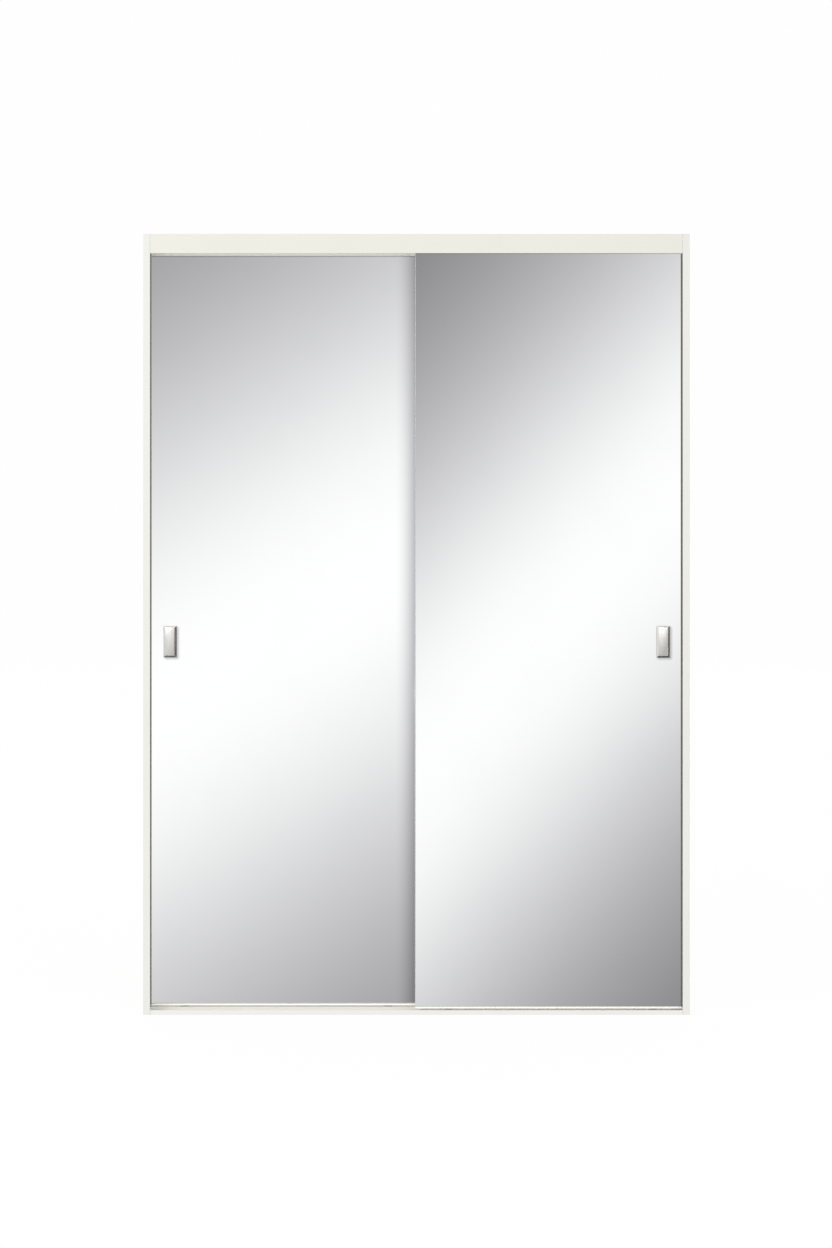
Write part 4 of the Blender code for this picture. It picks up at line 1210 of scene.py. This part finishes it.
# %% [markdown]
# A screw could be a cylinder with a ring for each turn of its thread, but a real thread climbs. So a screw is
# one turned surface. Its rows run from the middle of the head, over its edge, along the thread and to the
# point.

# %% The screw's section
HEAD_RADIUS, HEAD_FLAT, THREAD_RADIUS, ROOT_RADIUS = np.array([4.0, 2.8, 2.0, 1.55]) * MM
HEAD_HEIGHT, HEAD_ROUND, THREAD_PITCH = np.array([2.2, 0.9, 1.4]) * MM
FLAT_ROWS = 22
ROUND_ROWS = 6
ROWS_PER_PITCH = 8
TRIAL_LENGTH = 20.0 * MM


def screw_section(length):
    """Rows of (radius, station): flat top, quarter-ellipse edge, seat, thread root and point."""
    top = np.stack([np.linspace(0.0, HEAD_FLAT, FLAT_ROWS), np.zeros(FLAT_ROWS)], axis=-1)
    t = np.linspace(0.0, math.pi / 2, ROUND_ROWS)[1:]
    edge_radius = HEAD_FLAT + (HEAD_RADIUS - HEAD_FLAT) * np.sin(t)
    side = np.stack([edge_radius, HEAD_ROUND * (1.0 - np.cos(t))], axis=-1)
    seat = np.array([(HEAD_RADIUS, HEAD_HEIGHT), (THREAD_RADIUS, HEAD_HEIGHT)])
    shank = np.arange(HEAD_HEIGHT, length, THREAD_PITCH / ROWS_PER_PITCH)
    thread = np.stack([np.full(len(shank), ROOT_RADIUS), shank], axis=-1)
    return np.concatenate([top, side, seat, thread, [(0.0, length)]])


print("rows of a 20 mm screw:", len(screw_section(TRIAL_LENGTH)))

# %% [markdown]
# The cross recess could be cut with a Boolean, but that leaves ragged faces. Here it lowers the head where a
# point is inside one of two crossed bars. The thread is a ridge that climbs one pitch for each turn:
# radius = root + height * (1 - |2 f - 1|), f the fraction of station / pitch - angle / turn.

# %% The screw's recess and thread
SCREW_STEPS = 48
POINT_LENGTH = 1.6 * MM
BAR_HALF, BAR_REACH, RECESS_DEPTH, RECESS_SOFT = np.array([0.5, 2.0, 1.2, 0.25]) * MM


def inside(distance):
    """1 well inside, 0 outside, with a short slope of length RECESS_SOFT."""
    return np.clip(distance / RECESS_SOFT, 0.0, 1.0)


def cross_recess(across, upward):
    """1 inside either of two crossed bars, each BAR_HALF to both sides and BAR_REACH long from the middle."""
    upright = inside(BAR_HALF - np.abs(across)) * inside(BAR_REACH - np.abs(upward))
    lying = inside(BAR_HALF - np.abs(upward)) * inside(BAR_REACH - np.abs(across))
    return np.maximum(upright, lying)


def screw_surface(length):
    """Across, up and station arrays of a screw whose head top is station 0 and whose point is at length."""
    section = screw_section(length)
    across, upward, station, angles = turn(section, SCREW_STEPS)
    on_top = (np.arange(len(section)) < FLAT_ROWS)[:, None]
    station = station + RECESS_DEPTH * np.where(on_top, cross_recess(across, upward), 0.0)
    fraction = np.mod(station / THREAD_PITCH - angles[None] / math.tau, 1.0)
    ridge = (THREAD_RADIUS - ROOT_RADIUS) * (1.0 - np.abs(2.0 * fraction - 1.0))
    taper = np.clip((length - section[:, 1:]) / POINT_LENGTH, 0.0, 1.0)
    on_thread = section[:, :1] == ROOT_RADIUS
    radius = np.where(on_thread, (section[:, :1] + ridge) * taper, section[:, :1])
    return radius * np.cos(angles), radius * np.sin(angles), station


print("points of a 20 mm screw:", screw_surface(TRIAL_LENGTH)[0].size)

# %% [markdown]
# Four screws hold each door's corners. They stand upright, with their heads on the outer side of the rails.
# Two more clamp the carriages from behind, so they lie along the depth. One surface serves all of them: only
# its length, its axis and the way its head looks differ.

# %% The screws
def build_screw(node_name, axis, heading):
    """A screw along Y or Z whose head looks in the direction heading."""
    low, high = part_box(node_name)
    middle = (low + high) / 2
    near, far = (low.z, high.z) if axis == "Z" else (low.y, high.y)
    across, upward, station = screw_surface(far - near)
    along = (far - station) if heading > 0 else (near + station)
    if axis == "Z":
        points = np.stack([middle.x + across, middle.y + upward, along], axis=-1)
    else:
        points = np.stack([middle.x + across, along, middle.z + upward], axis=-1)
    faces = grid_faces(*across.shape)
    return make_piece(node_name + "_threaded", points, faces, [ZINC], node_name, sharp=40.0)


screws = []
for door in DOORS:
    for side in SIDES:
        screws.append(build_screw(f"{door}_bottom_{side}_screw", "Z", -1))
        screws.append(build_screw(f"{door}_top_{side}_screw", "Z", 1))
        screws.append(build_screw(f"{door}_{side}_roller_clamp_screw", "Y", 1))
print("screws:", [len(screw.data.polygons) for screw in screws])

# %% [markdown]
# ## The backing boards
# Hardboard is steamed wood fibre pressed on a wire screen. Its colour wanders with the fibres, and the screen
# leaves a fine square weave on its back. Modelling the weave would take millions of faces, so it is a bump:
# the height is the product of two sine waves.

# %% Hardboard
SCREEN_PITCH = 1.6 * MM
PATCH_SHARE = 0.15
FLECK_SHARE = 0.40
FIBRE_SHARE = 0.45
FIBRE_LIFT = 0.6
BOARD_DARK = (0.215, 0.135, 0.075)
BOARD_LIGHT = (0.365, 0.245, 0.145)
BOARD_ROUGHNESS = (0.62, 0.82)
BOARD_BUMP = 0.08 * MM


def hardboard():
    """Brown pressed fibre: broad patches, short fibres and the print of a wire screen."""
    material, shader = new_finish("hardboard")
    tree = material.node_tree
    fibres = place_group(material, GRAIN, Stretch=(1.0, 1.0, 0.35), Scale=420.0)
    flecks = place_group(material, GRAIN, Stretch=(1.0, 1.0, 0.5), Scale=110.0)
    patches = place_group(material, FILM, Scale=9.0)
    speckled = combine(tree, "MULTIPLY", flecks, FLECK_SHARE)
    coarse = combine(tree, "MULTIPLY_ADD", patches, PATCH_SHARE, speckled)
    shade = combine(tree, "MULTIPLY_ADD", fibres, FIBRE_SHARE, coarse)
    tint(material, shader, shade, BOARD_DARK, BOARD_LIGHT)
    roughen(material, shader, fibres, *BOARD_ROUGHNESS)
    place = axes_of(tree, object_place(tree))
    turns = [combine(tree, "MULTIPLY", place[axis], math.tau / SCREEN_PITCH) for axis in "XZ"]
    screen = combine(tree, "MULTIPLY", *[combine(tree, "SINE", angle) for angle in turns])
    raise_bump(material, shader, combine(tree, "MULTIPLY_ADD", fibres, FIBRE_LIFT, screen), BOARD_BUMP)
    return material


dress([door + "_backing_board" for door in DOORS], hardboard())
print("boards dressed")
